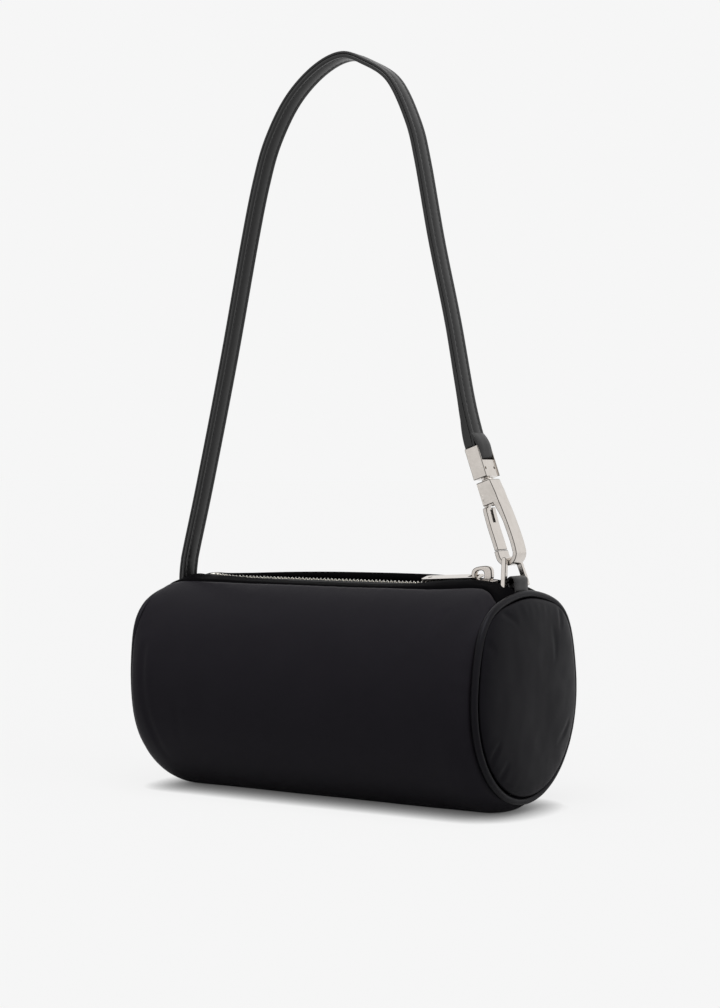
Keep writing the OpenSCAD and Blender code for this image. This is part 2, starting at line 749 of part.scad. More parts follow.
// Yoke: a solid foot and two side plates that carry the strap's pin
module yoke() {
    head_depth = post_head_t + 2 * layer_gap;
    color(nickel) hook_place() translate([0, 0, yoke_u]) difference() {
        translate([-yoke_d / 2, -yoke_out_y, 0]) cube([yoke_d, 2 * yoke_out_y, yoke_h]);
        translate([-yoke_d, -yoke_in_y, yoke_foot_h]) cube([2 * yoke_d, 2 * yoke_in_y, yoke_h]);
        translate([0, 0, -over])
            cylinder(r = post_r + turn_gap, h = yoke_h, $fn = small_fn);
        translate([0, 0, yoke_foot_h - head_depth - fit / 2])
            cylinder(r = post_head_r + fit, h = yoke_h, $fn = small_fn);
        translate([0, 0, yoke_pin_u - yoke_u]) rotate([90, 0, 0])
            cylinder(r = yoke_pin_r + press_gap, h = 3 * yoke_out_y, center = true,
                $fn = small_fn);
        for (s = [-1, 1]) translate([yoke_d / 2 - screw_depth, s * yoke_in_y * 0.7, yoke_foot_h / 2])
            rotate([0, 90, 0]) cylinder(r = screw_r, h = screw_depth + over, $fn = small_fn);
    }
}

module yoke_pin() {
    color(nickel) hook_place() translate([0, 0, yoke_pin_u]) rotate([90, 0, 0])
        cylinder(r = yoke_pin_r, h = 2 * yoke_out_y - layer_gap, center = true, $fn = small_fn);
}

// Strap end: one leather folded round the pin and lapped up the outside of the strap
module strap_end_loop() {
    loop_out = eye_r + leather_t;
    color(leather) translate([yoke_pin_x, 0, yoke_pin_z]) rotate([0, -strap_end_lean, 0])
        rotate([90, 0, 0]) linear_extrude(height = strap_w, center = true) union() {
            difference() {
                circle(r = loop_out, $fn = small_fn);
                circle(r = eye_r, $fn = small_fn);
                translate([-2 * loop_out, 0]) square([4 * loop_out, 2 * loop_out]);
            }
            polygon([
                [-loop_out, 0], [-eye_r, 0], [-layer_gap, loop_rise], [-leather_t, loop_rise]
            ]);
            polygon([
                [eye_r, 0], [loop_out, 0], [strap_t, loop_rise],
                [strap_t - leather_t * 0.3, loop_rise + loop_lap],
                [leather_t + layer_gap, loop_rise + loop_lap], [leather_t + layer_gap, loop_rise],
                [layer_gap, loop_rise]
            ]);
        }
}

// Middle line of the strap: its points, then a smooth curve through them
left_run = strap_crown_x - strap_base_x;
left_rise = strap_crown_z - strap_base_z;
right_run = strap_end_x - strap_crown_x;
right_drop = strap_crown_z - strap_end_z;
strap_points = concat(
    [[strap_base_x, strap_base_z]],
    [for (s = left_leg_shares) [strap_base_x + s[0] * left_run, strap_base_z + s[1] * left_rise]],
    [[strap_crown_x, strap_crown_z]],
    [for (s = right_leg_shares)
        [strap_crown_x + s[0] * right_run, strap_crown_z - s[1] * right_drop]],
    [[strap_end_x, strap_end_z]]
);
last_point = len(strap_points) - 1;
function knot(k) = strap_points[min(last_point, max(0, k))];
function spline(a, b, c, d, t) = b + t / 2 * (c - a + t * (2 * a - 5 * b + 4 * c - d
    + t * (3 * b - a - 3 * c + d)));
strap_line = concat(
    [for (k = [0 : last_point - 1]) for (j = [0 : strap_steps - 1])
        spline(knot(k - 1), knot(k), knot(k + 1), knot(k + 2), j / strap_steps)],
    [strap_points[last_point]]
);
strap_count = len(strap_line);
function strap_dir(k) = let (
    d = strap_line[min(strap_count - 1, k + 1)] - strap_line[max(0, k - 1)]
) d / norm(d);
function strap_side(k, depth) = strap_line[k] + depth * [-strap_dir(k)[1], strap_dir(k)[0]];

// One leather of the strap between two depths from its middle line
module strap_ribbon(low, high) {
    rotate([90, 0, 0]) linear_extrude(height = strap_w, center = true) polygon(concat(
        [for (k = [0 : strap_count - 1]) strap_side(k, low)],
        [for (k = [strap_count - 1 : -1 : 0]) strap_side(k, high)]
    ));
}

// Round zone about the sway line at the sewn end
module sway_zone(r) {
    translate([-2 * seam_x, 0, sway_z]) rotate([0, 90, 0])
        cylinder(r = r, h = 2 * seam_x, $fn = 2 * small_fn);
}

// The free part of the strap: above the sway line, and rounded under it
module strap_free(low, high) {
    color(leather) intersection() {
        strap_ribbon(low, high);
        union() {
            above(sway_z);
            sway_zone(sway_r);
        }
    }
}

module strap_outer() { strap_free(0, strap_t / 2); }
module strap_inner() { strap_free(-strap_t / 2, 0); }

// The sewn part of the strap, which stays with the bag
module strap_base() {
    color(leather) difference() {
        strap_ribbon(-strap_t / 2, strap_t / 2);
        above(sway_z - sway_r / 2);
        sway_zone(sway_r + fit);
    }
}

body_panel();
end_panel_left();
end_panel_right();
piping_left();
piping_right();
piping_cord_left();
piping_cord_right();
body_foam();
end_foam_left();
end_foam_right();
body_lining();
end_lining_left();
end_lining_right();
zip_end_left();
zip_end_right();
zip_facing_front();
zip_facing_back();
zip_tape_front();
zip_tape_back();
zip_teeth_front();
zip_teeth_back();
zip_top_stops();
zip_bottom_stop();
zip_slider();
zip_pull();
ring_tab();
ring();
hook_body();
gate();
gate_pin();
gate_spring();
swivel_post();
yoke();
yoke_pin();
strap_end_loop();
strap_outer();
strap_inner();
strap_base();
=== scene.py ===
"""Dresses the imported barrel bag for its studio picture.

Every shape is drawn in millimetres in the model's own frame (X along the barrel, Y from front
to back, Z up) and is brought to metres when its mesh is finished.
"""

from __future__ import annotations

import logging
import math
from dataclasses import dataclass, field
from enum import Enum
from typing import Callable, Sequence

import bmesh
import bpy
from mathutils import Matrix, Vector, noise


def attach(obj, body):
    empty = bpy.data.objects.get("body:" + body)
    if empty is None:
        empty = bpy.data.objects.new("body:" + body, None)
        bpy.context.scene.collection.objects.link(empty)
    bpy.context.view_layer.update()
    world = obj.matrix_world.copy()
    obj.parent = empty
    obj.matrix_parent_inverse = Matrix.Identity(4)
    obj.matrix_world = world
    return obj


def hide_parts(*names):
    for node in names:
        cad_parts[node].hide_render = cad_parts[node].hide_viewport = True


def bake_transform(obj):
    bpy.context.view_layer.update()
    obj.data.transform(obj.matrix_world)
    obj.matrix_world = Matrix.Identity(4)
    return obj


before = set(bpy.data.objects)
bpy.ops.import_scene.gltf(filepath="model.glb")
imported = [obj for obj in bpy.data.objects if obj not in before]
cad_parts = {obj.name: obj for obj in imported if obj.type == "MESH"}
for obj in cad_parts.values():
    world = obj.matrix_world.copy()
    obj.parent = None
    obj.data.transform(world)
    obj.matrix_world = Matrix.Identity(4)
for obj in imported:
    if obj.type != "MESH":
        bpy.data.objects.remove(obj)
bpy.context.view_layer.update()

LOG = logging.getLogger("barrel_bag")

BMesh = bmesh.types.BMesh
Pair = tuple[float, float]
Triple = tuple[float, float, float]
Knots = tuple[Pair, ...]

# A millimetre in metres
MM = 0.001
QUARTER = math.pi / 2
TURN = 2 * math.pi
# Points closer than this, in millimetres, are one point
WELD = 0.002
# A thickened sheet's corner has strayed where it is further than this, in millimetres, from the
# middle of its neighbours
STRAY = 1.2
CALM_ROUNDS = 3
# How far the stuffing pushes out the upper corners of an end seam, in millimetres
CORNER_SWELL = 5.0
# Edges that turn by more degrees than this stay sharp; cloth, cords and wire are round
ROUND_DEG, LEATHER_DEG, METAL_DEG, TEETH_DEG = 60.0, 50.0, 35.0, 30.0


class Slot(Enum):
    """The bag's material slots."""

    NYLON = "nylon"
    TRIM = "nylon_trim"
    FOAM = "foam"
    LINING = "lining"
    CORD = "cord"
    TAPE = "tape"
    LEATHER = "leather"
    NICKEL = "nickel"


class Body(Enum):
    """The bodies of the model that pieces ride on."""

    BAG = "bag"
    SLIDER = "slider"
    PULL = "pull"
    STRAP = "strap"
    YOKE = "yoke"
    HOOK = "hook"
    GATE = "gate"
    RING = "ring"


# ---- Shader recipes ----


class Wire:
    """A node's output that takes part in Python sums; each sum adds a Math node."""

    def __init__(self, recipe: "Recipe", socket: bpy.types.NodeSocket) -> None:
        """Holds the socket and the recipe that it belongs to.

        Args:
            recipe: The material's node tree.
            socket: The output that this wire carries.
        """
        self.recipe = recipe
        self.socket = socket

    def _sum(self, operation: str, first: "Wire | float", second: "Wire | float") -> "Wire":
        """Adds one Math node.

        Args:
            operation: The Math node's operation.
            first: Its first value.
            second: Its second value.

        Returns:
            The node's value.
        """
        return self.recipe.make("ShaderNodeMath", {"operation": operation}, {0: first, 1: second})

    def __add__(self, other: "Wire | float") -> "Wire":
        """This plus other."""
        return self._sum("ADD", self, other)

    __radd__ = __add__

    def __sub__(self, other: "Wire | float") -> "Wire":
        """This less other."""
        return self._sum("SUBTRACT", self, other)

    def __rsub__(self, other: float) -> "Wire":
        """Other less this."""
        return self._sum("SUBTRACT", other, self)

    def __mul__(self, other: "Wire | float") -> "Wire":
        """This times other."""
        return self._sum("MULTIPLY", self, other)

    __rmul__ = __mul__

    def __truediv__(self, other: "Wire | float") -> "Wire":
        """This over other."""
        return self._sum("DIVIDE", self, other)

    def __rtruediv__(self, other: float) -> "Wire":
        """Other over this."""
        return self._sum("DIVIDE", other, self)

    def sine(self) -> "Wire":
        """The sine of this value."""
        return self._sum("SINE", self, 0.0)

    def fraction(self) -> "Wire":
        """What is left of this value after its whole number."""
        return self._sum("FRACT", self, 0.0)

    def greater(self, other: "Wire | float") -> "Wire":
        """The greater of this and other."""
        return self._sum("MAXIMUM", self, other)

    def clamped(self) -> "Wire":
        """This value held between nought and one."""
        return self.recipe.make("ShaderNodeClamp", {}, {"Value": self})


class Recipe:
    """The node tree of one finish, or of the room."""

    def __init__(self, name: str, room: bool = False) -> None:
        """Starts an empty tree with its output.

        Args:
            name: The name of the material or the room.
            room: True for the room's own tree.
        """
        self.owner = (bpy.data.worlds if room else bpy.data.materials).new(name)
        self.owner.use_nodes = True
        self.tree = self.owner.node_tree
        self.tree.nodes.clear()
        kind = "ShaderNodeOutputWorld" if room else "ShaderNodeOutputMaterial"
        self.output = self.tree.nodes.new(kind)

    def node(self, kind: str, settings: dict, sockets: dict) -> bpy.types.Node:
        """Adds one node.

        Args:
            kind: The node's type.
            settings: Its settings, set first; "stops" holds a ramp's (place, colour) pairs.
            sockets: A value or wire for each socket, by name or number.

        Returns:
            The new node.
        """
        made = self.tree.nodes.new(kind)
        for key, value in settings.items():
            if key == "stops":
                ramp = made.color_ramp.elements
                while len(ramp) < len(value):
                    ramp.new(0.5)
                for stop, (place, colour) in zip(ramp, value):
                    stop.position = place
                    stop.color = (*colour, 1)
            else:
                setattr(made, key, value)
        for key, value in sockets.items():
            if isinstance(value, Wire):
                self.tree.links.new(value.socket, made.inputs[key])
            else:
                made.inputs[key].default_value = value
        return made

    def make(self, kind: str, settings: dict, sockets: dict, result: str | int = 0) -> Wire:
        """Adds one node and gives its output.

        Args:
            kind: The node's type.
            settings: Its settings.
            sockets: A value or wire for each socket.
            result: The output that is wanted.

        Returns:
            That output as a wire.
        """
        return Wire(self, self.node(kind, settings, sockets).outputs[result])

    def place(self) -> Wire:
        """The point on the piece, in the model's frame."""
        return self.make("ShaderNodeTexCoord", {}, {}, "Object")

    def cloth(self) -> Wire:
        """The point on the flat cloth, in metres."""
        return self.make("ShaderNodeUVMap", {"uv_map": "cloth"}, {})

    def split(self, point: Wire) -> tuple[Wire, Wire, Wire]:
        """Parts a point.

        Args:
            point: The point.

        Returns:
            Its three coordinates.
        """
        parts = self.node("ShaderNodeSeparateXYZ", {}, {0: point})
        return tuple(Wire(self, out) for out in parts.outputs)

    def seen_by(self, *rays: str) -> Wire:
        """Tells some kinds of ray from the others.

        Args:
            rays: The Light Path node's names for them.

        Returns:
            One for these rays, nought for the others.
        """
        found = self.node("ShaderNodeLightPath", {}, {}).outputs
        share = Wire(self, found[rays[0]])
        for ray in rays[1:]:
            share = share.greater(Wire(self, found[ray]))
        return share

    def cloud(self, point: Wire, size_mm: float, detail: float = 2.0) -> Wire:
        """Soft noise.

        Args:
            point: Where it is read.
            size_mm: The size of its blotches.
            detail: How many finer layers it has.

        Returns:
            Its value, about 0 to 1.
        """
        sockets = {"Vector": point, "Scale": 1 / (size_mm * MM), "Detail": detail}
        return self.make("ShaderNodeTexNoise", {}, sockets)

    def tint(self, share: Wire, low: Sequence[float], high: Sequence[float]) -> Wire:
        """A colour between two.

        Args:
            share: How much of the second colour shows.
            low: The first colour.
            high: The second colour.

        Returns:
            The mixed colour.
        """
        sockets = {0: share, 6: (*low, 1), 7: (*high, 1)}
        return self.make("ShaderNodeMix", {"data_type": "RGBA"}, sockets, 2)

    def bump(self, height: Wire, depth_mm: float, strength: float = 1.0) -> Wire:
        """Relief.

        Args:
            height: The relief's height, 0 to 1.
            depth_mm: Its depth.
            strength: How much of it shows.

        Returns:
            The bent normal.
        """
        sockets = {"Strength": strength, "Distance": depth_mm * MM, "Height": height}
        return self.make("ShaderNodeBump", {}, sockets)

    def finish(self, sockets: dict) -> bpy.types.Material:
        """Adds the surface shader and joins it to the output.

        Args:
            sockets: Its values and wires.

        Returns:
            The finished material.
        """
        return self.close(self.make("ShaderNodeBsdfPrincipled", {}, sockets))

    def close(self, shader: Wire) -> bpy.types.Material | bpy.types.World:
        """Joins the last shader to the output and gives the tree's owner."""
        self.tree.links.new(shader.socket, self.output.inputs["Surface"])
        return self.owner


@dataclass(frozen=True)
class SatinNylon:
    """Black satin nylon: a fine twill with a soft sheen on its turned faces."""

    name: str
    low: Triple = (0.0104, 0.0095, 0.0118)
    high: Triple = (0.0148, 0.0135, 0.0166)
    thread_mm: float = 0.42
    rough: float = 0.44
    gloss: float = 0.035
    sheen: float = 0.004
    tint: Triple = (0.86, 0.85, 1.0)
    sheen_tint: Triple = (0.78, 0.74, 1.0)
    sheen_rough: float = 0.35
    blotch_mm: float = 19.0
    grain_mm: float = 1.1
    relief_mm: float = 0.03

    def build(self) -> bpy.types.Material:
        """Makes the material.

        Returns:
            The material.
        """
        mix = Recipe(self.name)
        flat = mix.cloth()
        along, across, _ = mix.split(flat)
        turn = TURN / (self.thread_mm * MM)
        twill = ((along + across * 0.5) * turn).sine() * 0.3 + (across * turn).sine() * 0.2 + 0.5
        blotch = mix.cloud(mix.place(), self.blotch_mm, 3)
        grain = mix.cloud(flat, self.grain_mm)
        return mix.finish({
            "Base Color": mix.tint(blotch * 0.6 + grain * 0.4, self.low, self.high),
            "Roughness": blotch * 0.12 + grain * 0.08 + (self.rough - 0.1),
            "Specular IOR Level": self.gloss,
            "Specular Tint": (*self.tint, 1),
            "Sheen Weight": self.sheen,
            "Sheen Roughness": self.sheen_rough,
            "Sheen Tint": (*self.sheen_tint, 1),
            "Normal": mix.bump(twill + grain * 0.5, self.relief_mm, 0.5),
        })


@dataclass(frozen=True)
class PlainCloth:
    """Woven cloth such as the lining: warp and weft of one size."""

    name: str
    low: Triple
    high: Triple
    thread_mm: float = 0.5
    rough: float = 0.8
    herringbone: bool = False
    rib_threads: int = 6
    fibre_mm: float = 0.7
    relief_mm: float = 0.08

    def build(self) -> bpy.types.Material:
        """Makes the material.

        Returns:
            The material.
        """
        mix = Recipe(self.name)
        flat = mix.cloth()
        along, across, _ = mix.split(flat)
        turn = TURN / (self.thread_mm * MM)
        if self.herringbone:
            rib = self.thread_mm * MM * self.rib_threads
            zig = (across / rib).fraction() - 0.5
            slope = zig.greater(zig * -1.0) * rib
            weave = ((along + slope) * turn).sine() * 0.5 + 0.5
        else:
            weave = (along * turn).sine() * (across * turn).sine() * 0.5 + 0.5
        fibre = mix.cloud(flat, self.fibre_mm)
        return mix.finish({
            "Base Color": mix.tint(weave * 0.5 + fibre * 0.5, self.low, self.high),
            "Roughness": fibre * 0.15 + (self.rough - 0.08),
            "Specular IOR Level": 0.3,
            "Normal": mix.bump(weave + fibre * 0.4, self.relief_mm, 0.8),
        })


@dataclass(frozen=True)
class Sponge:
    """Open foam, or a cord's cotton core."""

    name: str
    low: Triple
    high: Triple
    cell_mm: float = 0.8
    relief_mm: float = 0.3

    def build(self) -> bpy.types.Material:
        """Makes the material.

        Returns:
            The material.
        """
        mix = Recipe(self.name)
        spot = {"Vector": mix.place(), "Scale": 1 / (self.cell_mm * MM)}
        cells = mix.make("ShaderNodeTexVoronoi", {}, spot)
        return mix.finish({
            "Base Color": mix.tint(cells, self.high, self.low),
            "Roughness": cells * 0.1 + 0.85,
            "Normal": mix.bump(cells, self.relief_mm, 0.7),
        })


@dataclass(frozen=True)
class Leather:
    """Smooth black leather: fine pores, soft creases and a polished top coat."""

    name: str
    low: Triple = (0.0030, 0.0029, 0.0030)
    high: Triple = (0.0062, 0.0060, 0.0062)
    rough: float = 0.32
    gloss: float = 0.3
    pore_mm: float = 0.55
    relief_mm: float = 0.012
    crease_mm: float = 2.6
    blotch_mm: float = 14.0

    def build(self) -> bpy.types.Material:
        """Makes the material.

        Returns:
            The material.
        """
        mix = Recipe(self.name)
        here = mix.place()
        pores = mix.make("ShaderNodeTexVoronoi", {"feature": "DISTANCE_TO_EDGE"},
                         {"Vector": here, "Scale": 1 / (self.pore_mm * MM)})
        crease = mix.cloud(here, self.crease_mm, 4)
        blotch = mix.cloud(here, self.blotch_mm)
        height = (pores * 4.0).clamped() * 0.6 + crease * 0.6
        return mix.finish({
            "Base Color": mix.tint(blotch * 0.5 + crease * 0.5, self.low, self.high),
            "Roughness": blotch * 0.16 + crease * 0.1 + (self.rough - 0.13),
            "Specular IOR Level": self.gloss,
            "Normal": mix.bump(height, self.relief_mm, 0.8),
        })


@dataclass(frozen=True)
class Thread:
    """Twisted sewing thread."""

    name: str
    low: Triple = (0.0035, 0.0035, 0.0038)
    high: Triple = (0.012, 0.012, 0.013)
    twist_mm: float = 0.35
    relief_mm: float = 0.04

    def build(self) -> bpy.types.Material:
        """Makes the material.

        Returns:
            The material.
        """
        mix = Recipe(self.name)
        right, _, up = mix.split(mix.place())
        twist = ((right + up) * (TURN / (self.twist_mm * MM))).sine() * 0.5 + 0.5
        return mix.finish({
            "Base Color": mix.tint(twist, self.low, self.high),
            "Roughness": twist * 0.1 + 0.5,
            "Normal": mix.bump(twist, self.relief_mm, 0.7),
        })


@dataclass(frozen=True)
class PolishedNickel:
    """Polished nickel plate with faint handling marks in its gloss."""

    name: str
    low: Triple = (0.62, 0.575, 0.53)
    high: Triple = (0.76, 0.715, 0.67)
    rough: float = 0.17
    wear_mm: float = 3.5
    hairline_mm: float = 1.3
    stretch: float = 9.0
    relief_mm: float = 0.006

    def build(self) -> bpy.types.Material:
        """Makes the material.

        Returns:
            The material.
        """
        mix = Recipe(self.name)
        here = mix.place()
        smudge = mix.cloud(here, self.wear_mm, 4)
        right, back, up = mix.split(here)
        fine = mix.make("ShaderNodeCombineXYZ", {},
                        {0: right * self.stretch, 1: back * self.stretch, 2: up})
        hairline = mix.cloud(fine, self.hairline_mm)
        return mix.finish({
            "Base Color": mix.tint(smudge, self.low, self.high),
            "Metallic": 1.0,
            "Roughness": smudge * 0.12 + hairline * 0.07 + (self.rough - 0.09),
            "Normal": mix.bump(hairline + smudge, self.relief_mm, 0.5),
        })


@dataclass(frozen=True)
class PaleGround:
    """The plain pale floor: its lit share shows the lamps' shadow; the camera sees the picture's
    ground, glowing, with a contact shadow painted by ambient occlusion.
    """

    name: str
    shade: float = 0.86
    seen: float = 0.923
    glow: float = 0.9
    painted_shadow_mm: float = 15.0
    painted_shadow_share: float = 0.08

    def build(self) -> bpy.types.Material:
        """Makes the material.

        Returns:
            The material.
        """
        mix = Recipe(self.name)
        blotch = mix.cloud(mix.place(), 60)
        white = (self.shade, self.shade, self.shade, 1)
        lit = mix.make("ShaderNodeBsdfDiffuse", {}, {"Color": white,
                                                     "Roughness": blotch * 0.05 + 0.9})
        # The camera's glow darkens near the bag by ambient occlusion: a painted contact shadow
        near = mix.make("ShaderNodeAmbientOcclusion", {"samples": 12},
                        {"Distance": self.painted_shadow_mm * MM}, "AO")
        painted_shadow_tone = mix.tint(near, (self.seen * self.painted_shadow_share,) * 3, (self.seen,) * 3)
        glow = mix.make("ShaderNodeEmission", {}, {"Color": painted_shadow_tone, "Strength": 1.0})
        share = mix.seen_by("Is Camera Ray") * self.glow
        return mix.close(mix.make("ShaderNodeMixShader", {}, {0: share, 1: lit, 2: glow}))


class Finish(Enum):
    """The finishes of the bag, each made once."""

    NYLON = SatinNylon("satin_nylon")
    # The end panels' nylon: a darker copy of the barrel's nylon, painted shade on the upright ends
    CAP = SatinNylon("satin_nylon_end_shaded", (0.0040, 0.0037, 0.0046), (0.0064, 0.0060, 0.0074),
                     rough=0.46, gloss=0.065)
    TRIM = SatinNylon("satin_nylon_trim", (0.0024, 0.0023, 0.0025), (0.0040, 0.0038, 0.0044),
                      rough=0.6, gloss=0.004, sheen=0.0)
    PIPING = SatinNylon("satin_nylon_piping", (0.0034, 0.0032, 0.0036), (0.0054, 0.0051, 0.0060),
                        rough=0.40, gloss=0.11)
    FOAM = Sponge("foam_interlining", (0.42, 0.40, 0.35), (0.62, 0.60, 0.54))
    LINING = PlainCloth("twill_lining", (0.020, 0.020, 0.023), (0.036, 0.036, 0.040))
    CORD = Sponge("cotton_cord", (0.50, 0.48, 0.43), (0.70, 0.68, 0.62), 0.5)
    TAPE = PlainCloth("zip_tape", (0.0035, 0.0035, 0.0038), (0.010, 0.010, 0.011), 0.6,
                      herringbone=True)
    LEATHER = Leather("smooth_leather")
    EDGE = Leather("painted_edge", (0.0035, 0.0034, 0.0035), (0.0060, 0.0058, 0.0060), 0.3, 0.5,
                   1.4, 0.02)
    THREAD = Thread("waxed_thread")
    NICKEL = PolishedNickel("polished_nickel")
    # Dark nickel for the metal's rounded edges and the gate's slot walls: painted dark reflection
    # lines on the edges, painted shade in the slot
    NICKEL_LINE = PolishedNickel("nickel_painted_shade", (0.055, 0.05, 0.046), (0.12, 0.11, 0.10), 0.26)
    ROSE_NICKEL = PolishedNickel("warm_nickel", (0.66, 0.60, 0.55), (0.78, 0.73, 0.68), 0.2)
    TEETH = PolishedNickel("zip_teeth_nickel", (0.90, 0.87, 0.81), (0.97, 0.95, 0.90), 0.40, 1.2)
    GROUND = PaleGround("pale_ground")

    def material(self) -> bpy.types.Material:
        """The finish's material, made on first use."""
        found = bpy.data.materials.get(self.value.name)
        return found or self.value.build()


# ---- Mesh tools ----


def linked(name: str, data: bpy.types.ID) -> bpy.types.Object:
    """Makes an object and puts it in the scene.

    Args:
        name: The object's name.
        data: Its mesh, light or camera.

    Returns:
        The object.
    """
    made = bpy.data.objects.new(name, data)
    bpy.context.scene.collection.objects.link(made)
    return made


@dataclass(frozen=True)
class Piece:
    """How a finished mesh joins the model."""

    name: str
    body: Body
    slot: Slot
    finishes: tuple[Finish, ...]
    nodes: tuple[str, ...] = ()
    sharp_deg: float = 40.0
    padded: float | None = None
    flat_faces: bool = False
    face_weight: int = 80

    def publish(self, bm: BMesh, rides: bool = True) -> bpy.types.Object:
        """Turns a mesh in millimetres into a piece of the model.

        Args:
            bm: The mesh, which is freed.
            rides: False for a piece that is left without a body.

        Returns:
            The piece's object.
        """
        bmesh.ops.scale(bm, vec=(MM, MM, MM), verts=bm.verts)
        mesh = bpy.data.meshes.new(self.name)
        bm.to_mesh(mesh)
        bm.free()
        mesh.shade_smooth()
        mesh.set_sharp_from_angle(angle=math.radians(self.sharp_deg))
        for finish in self.finishes:
            mesh.materials.append(finish.material())
        made = linked(self.name, mesh)
        if self.flat_faces:
            weigh = made.modifiers.new("flat_faces", "WEIGHTED_NORMAL")
            weigh.keep_sharp = True
            weigh.weight = self.face_weight
        if rides:
            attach(made, self.body.value)
        if self.nodes:
            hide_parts(*self.nodes)
        LOG.info("%s: %d faces on %s", self.name, len(mesh.polygons), self.body.value)
        return made


def soft_piece(
    name: str, slot: Slot, finish: Finish, node: str, bm: BMesh,
    padded: float | None = None,
) -> bpy.types.Object:
    """Publishes a cloth, foam or cord piece of the bag itself.

    Args:
        name: The piece's name.
        slot: Its material slot; it is kept on the piece but not used.
        finish: Its finish.
        node: The CAD node that it replaces.
        bm: Its mesh, which is freed.
        padded: How full its padding is, where it has any; it is kept on the piece but not used.

    Returns:
        The piece's object.
    """
    return Piece(name, Body.BAG, slot, (finish,), (node,), ROUND_DEG, padded).publish(bm)


def metal_piece(
    name: str, body: Body, node: str, bm: BMesh, face: Finish = Finish.NICKEL
) -> None:
    """Publishes a polished metal piece whose rounded edges have the dark nickel finish, painted
    dark reflection lines.

    Args:
        name: The piece's name.
        body: The body that it rides on.
        node: The CAD node that it replaces.
        bm: Its mesh, which is freed.
        face: The finish of its faces.
    """
    Piece(name, body, Slot.NICKEL, (face, Finish.NICKEL_LINE), (node,), METAL_DEG,
          flat_faces=True).publish(bm)


def woven_grid(
    place: Callable[[float, float], Vector], columns: int, rows: int, cloth_mm: Pair
) -> BMesh:
    """Lays a square grid on a surface.

    Args:
        place: The point for each share along and across the grid.
        columns: Faces along.
        rows: Faces across.
        cloth_mm: The flat cloth's length and width, for its weave.

    Returns:
        The sheet's mesh, with its flat cloth as its texture map in metres.
    """
    bm = bmesh.new()
    flat = bm.loops.layers.uv.new("cloth")
    bmesh.ops.create_grid(bm, x_segments=columns, y_segments=rows, size=0.5, calc_uvs=True)
    for face in bm.faces:
        for loop in face.loops:
            share = loop[flat].uv
            loop[flat].uv = (share.x * cloth_mm[0] * MM, share.y * cloth_mm[1] * MM)
    for vert in bm.verts:
        vert.co = place(vert.co.x + 0.5, vert.co.y + 0.5)
    bmesh.ops.remove_doubles(bm, verts=bm.verts, dist=WELD)
    return bm


def outward(bm: BMesh) -> BMesh:
    """Turns a mesh's faces outward and gives the same mesh."""
    bmesh.ops.recalc_face_normals(bm, faces=bm.faces)
    return bm


def thicken(bm: BMesh, middle: Vector, thickness: float) -> BMesh:
    """Gives a sheet its thickness, away from its outer face.

    Args:
        bm: The sheet.
        middle: A point on its inner side.
        thickness: Its thickness.

    Returns:
        The same mesh as a closed solid.
    """
    outward(bm)
    lean = sum(face.normal.dot(face.calc_center_median() - middle) for face in bm.faces)
    if lean < 0:
        bmesh.ops.reverse_faces(bm, faces=bm.faces)
    bmesh.ops.solidify(bm, geom=bm.faces[:], thickness=thickness)
    for _ in range(CALM_ROUNDS):
        for vert in bm.verts:
            near = [edge.other_vert(vert).co for edge in vert.link_edges]
            calm = sum(near, Vector()) / len(near)
            if (vert.co - calm).length > STRAY:
                vert.co = calm
    return bm


def close_ends(bm: BMesh) -> BMesh:
    """Fills a tube's open ends and turns its faces outward.

    Args:
        bm: The tube.

    Returns:
        The same mesh, closed.
    """
    open_edges = [edge for edge in bm.edges if edge.is_boundary]
    bmesh.ops.holes_fill(bm, edges=open_edges, sides=0)
    return outward(bm)


def bevel_sharp(
    bm: BMesh, width: float, segments: int = 2, angle_deg: float = 38.0,
    finish: int = 0, shortest: float = 0.0,
) -> None:
    """Rounds the sharp edges of a solid.

    Args:
        bm: The solid.
        width: How far the rounding reaches.
        segments: Its faces.
        angle_deg: Edges that turn by more than this are sharp.
        finish: The number of the rounding's finish on the piece; on metal pieces 1 is the dark
            nickel of painted reflection lines.
        shortest: Shorter edges, such as a small bore's, stay sharp.
    """
    limit = math.radians(angle_deg)
    sharp = [e for e in bm.edges if len(e.link_faces) == 2 and e.calc_face_angle(0) > limit
             and e.calc_length() > shortest]
    made = bmesh.ops.bevel(
        bm, geom=sharp, offset=width, offset_type="OFFSET", segments=segments, profile=0.5,
        affect="EDGES", material=-1, clamp_overlap=shortest == 0, loop_slide=True,
    )
    for face in made["faces"]:
        face.material_index = finish


def refined(node: str) -> BMesh:
    """Copies a rigid CAD solid and joins its loose triangles.

    Args:
        node: The CAD node.

    Returns:
        The copy, in millimetres.
    """
    bm = bmesh.new()
    bm.from_mesh(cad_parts[node].data)
    bmesh.ops.scale(bm, vec=(1 / MM, 1 / MM, 1 / MM), verts=bm.verts)
    bmesh.ops.remove_doubles(bm, verts=bm.verts, dist=WELD)
    for layer in list(bm.loops.layers.uv.values()):
        bm.loops.layers.uv.remove(layer)
    bmesh.ops.dissolve_limit(bm, angle_limit=math.radians(1.0), verts=bm.verts, edges=bm.edges)
    outward(bm)
    for face in bm.faces:
        face.material_index = 0
    return bm


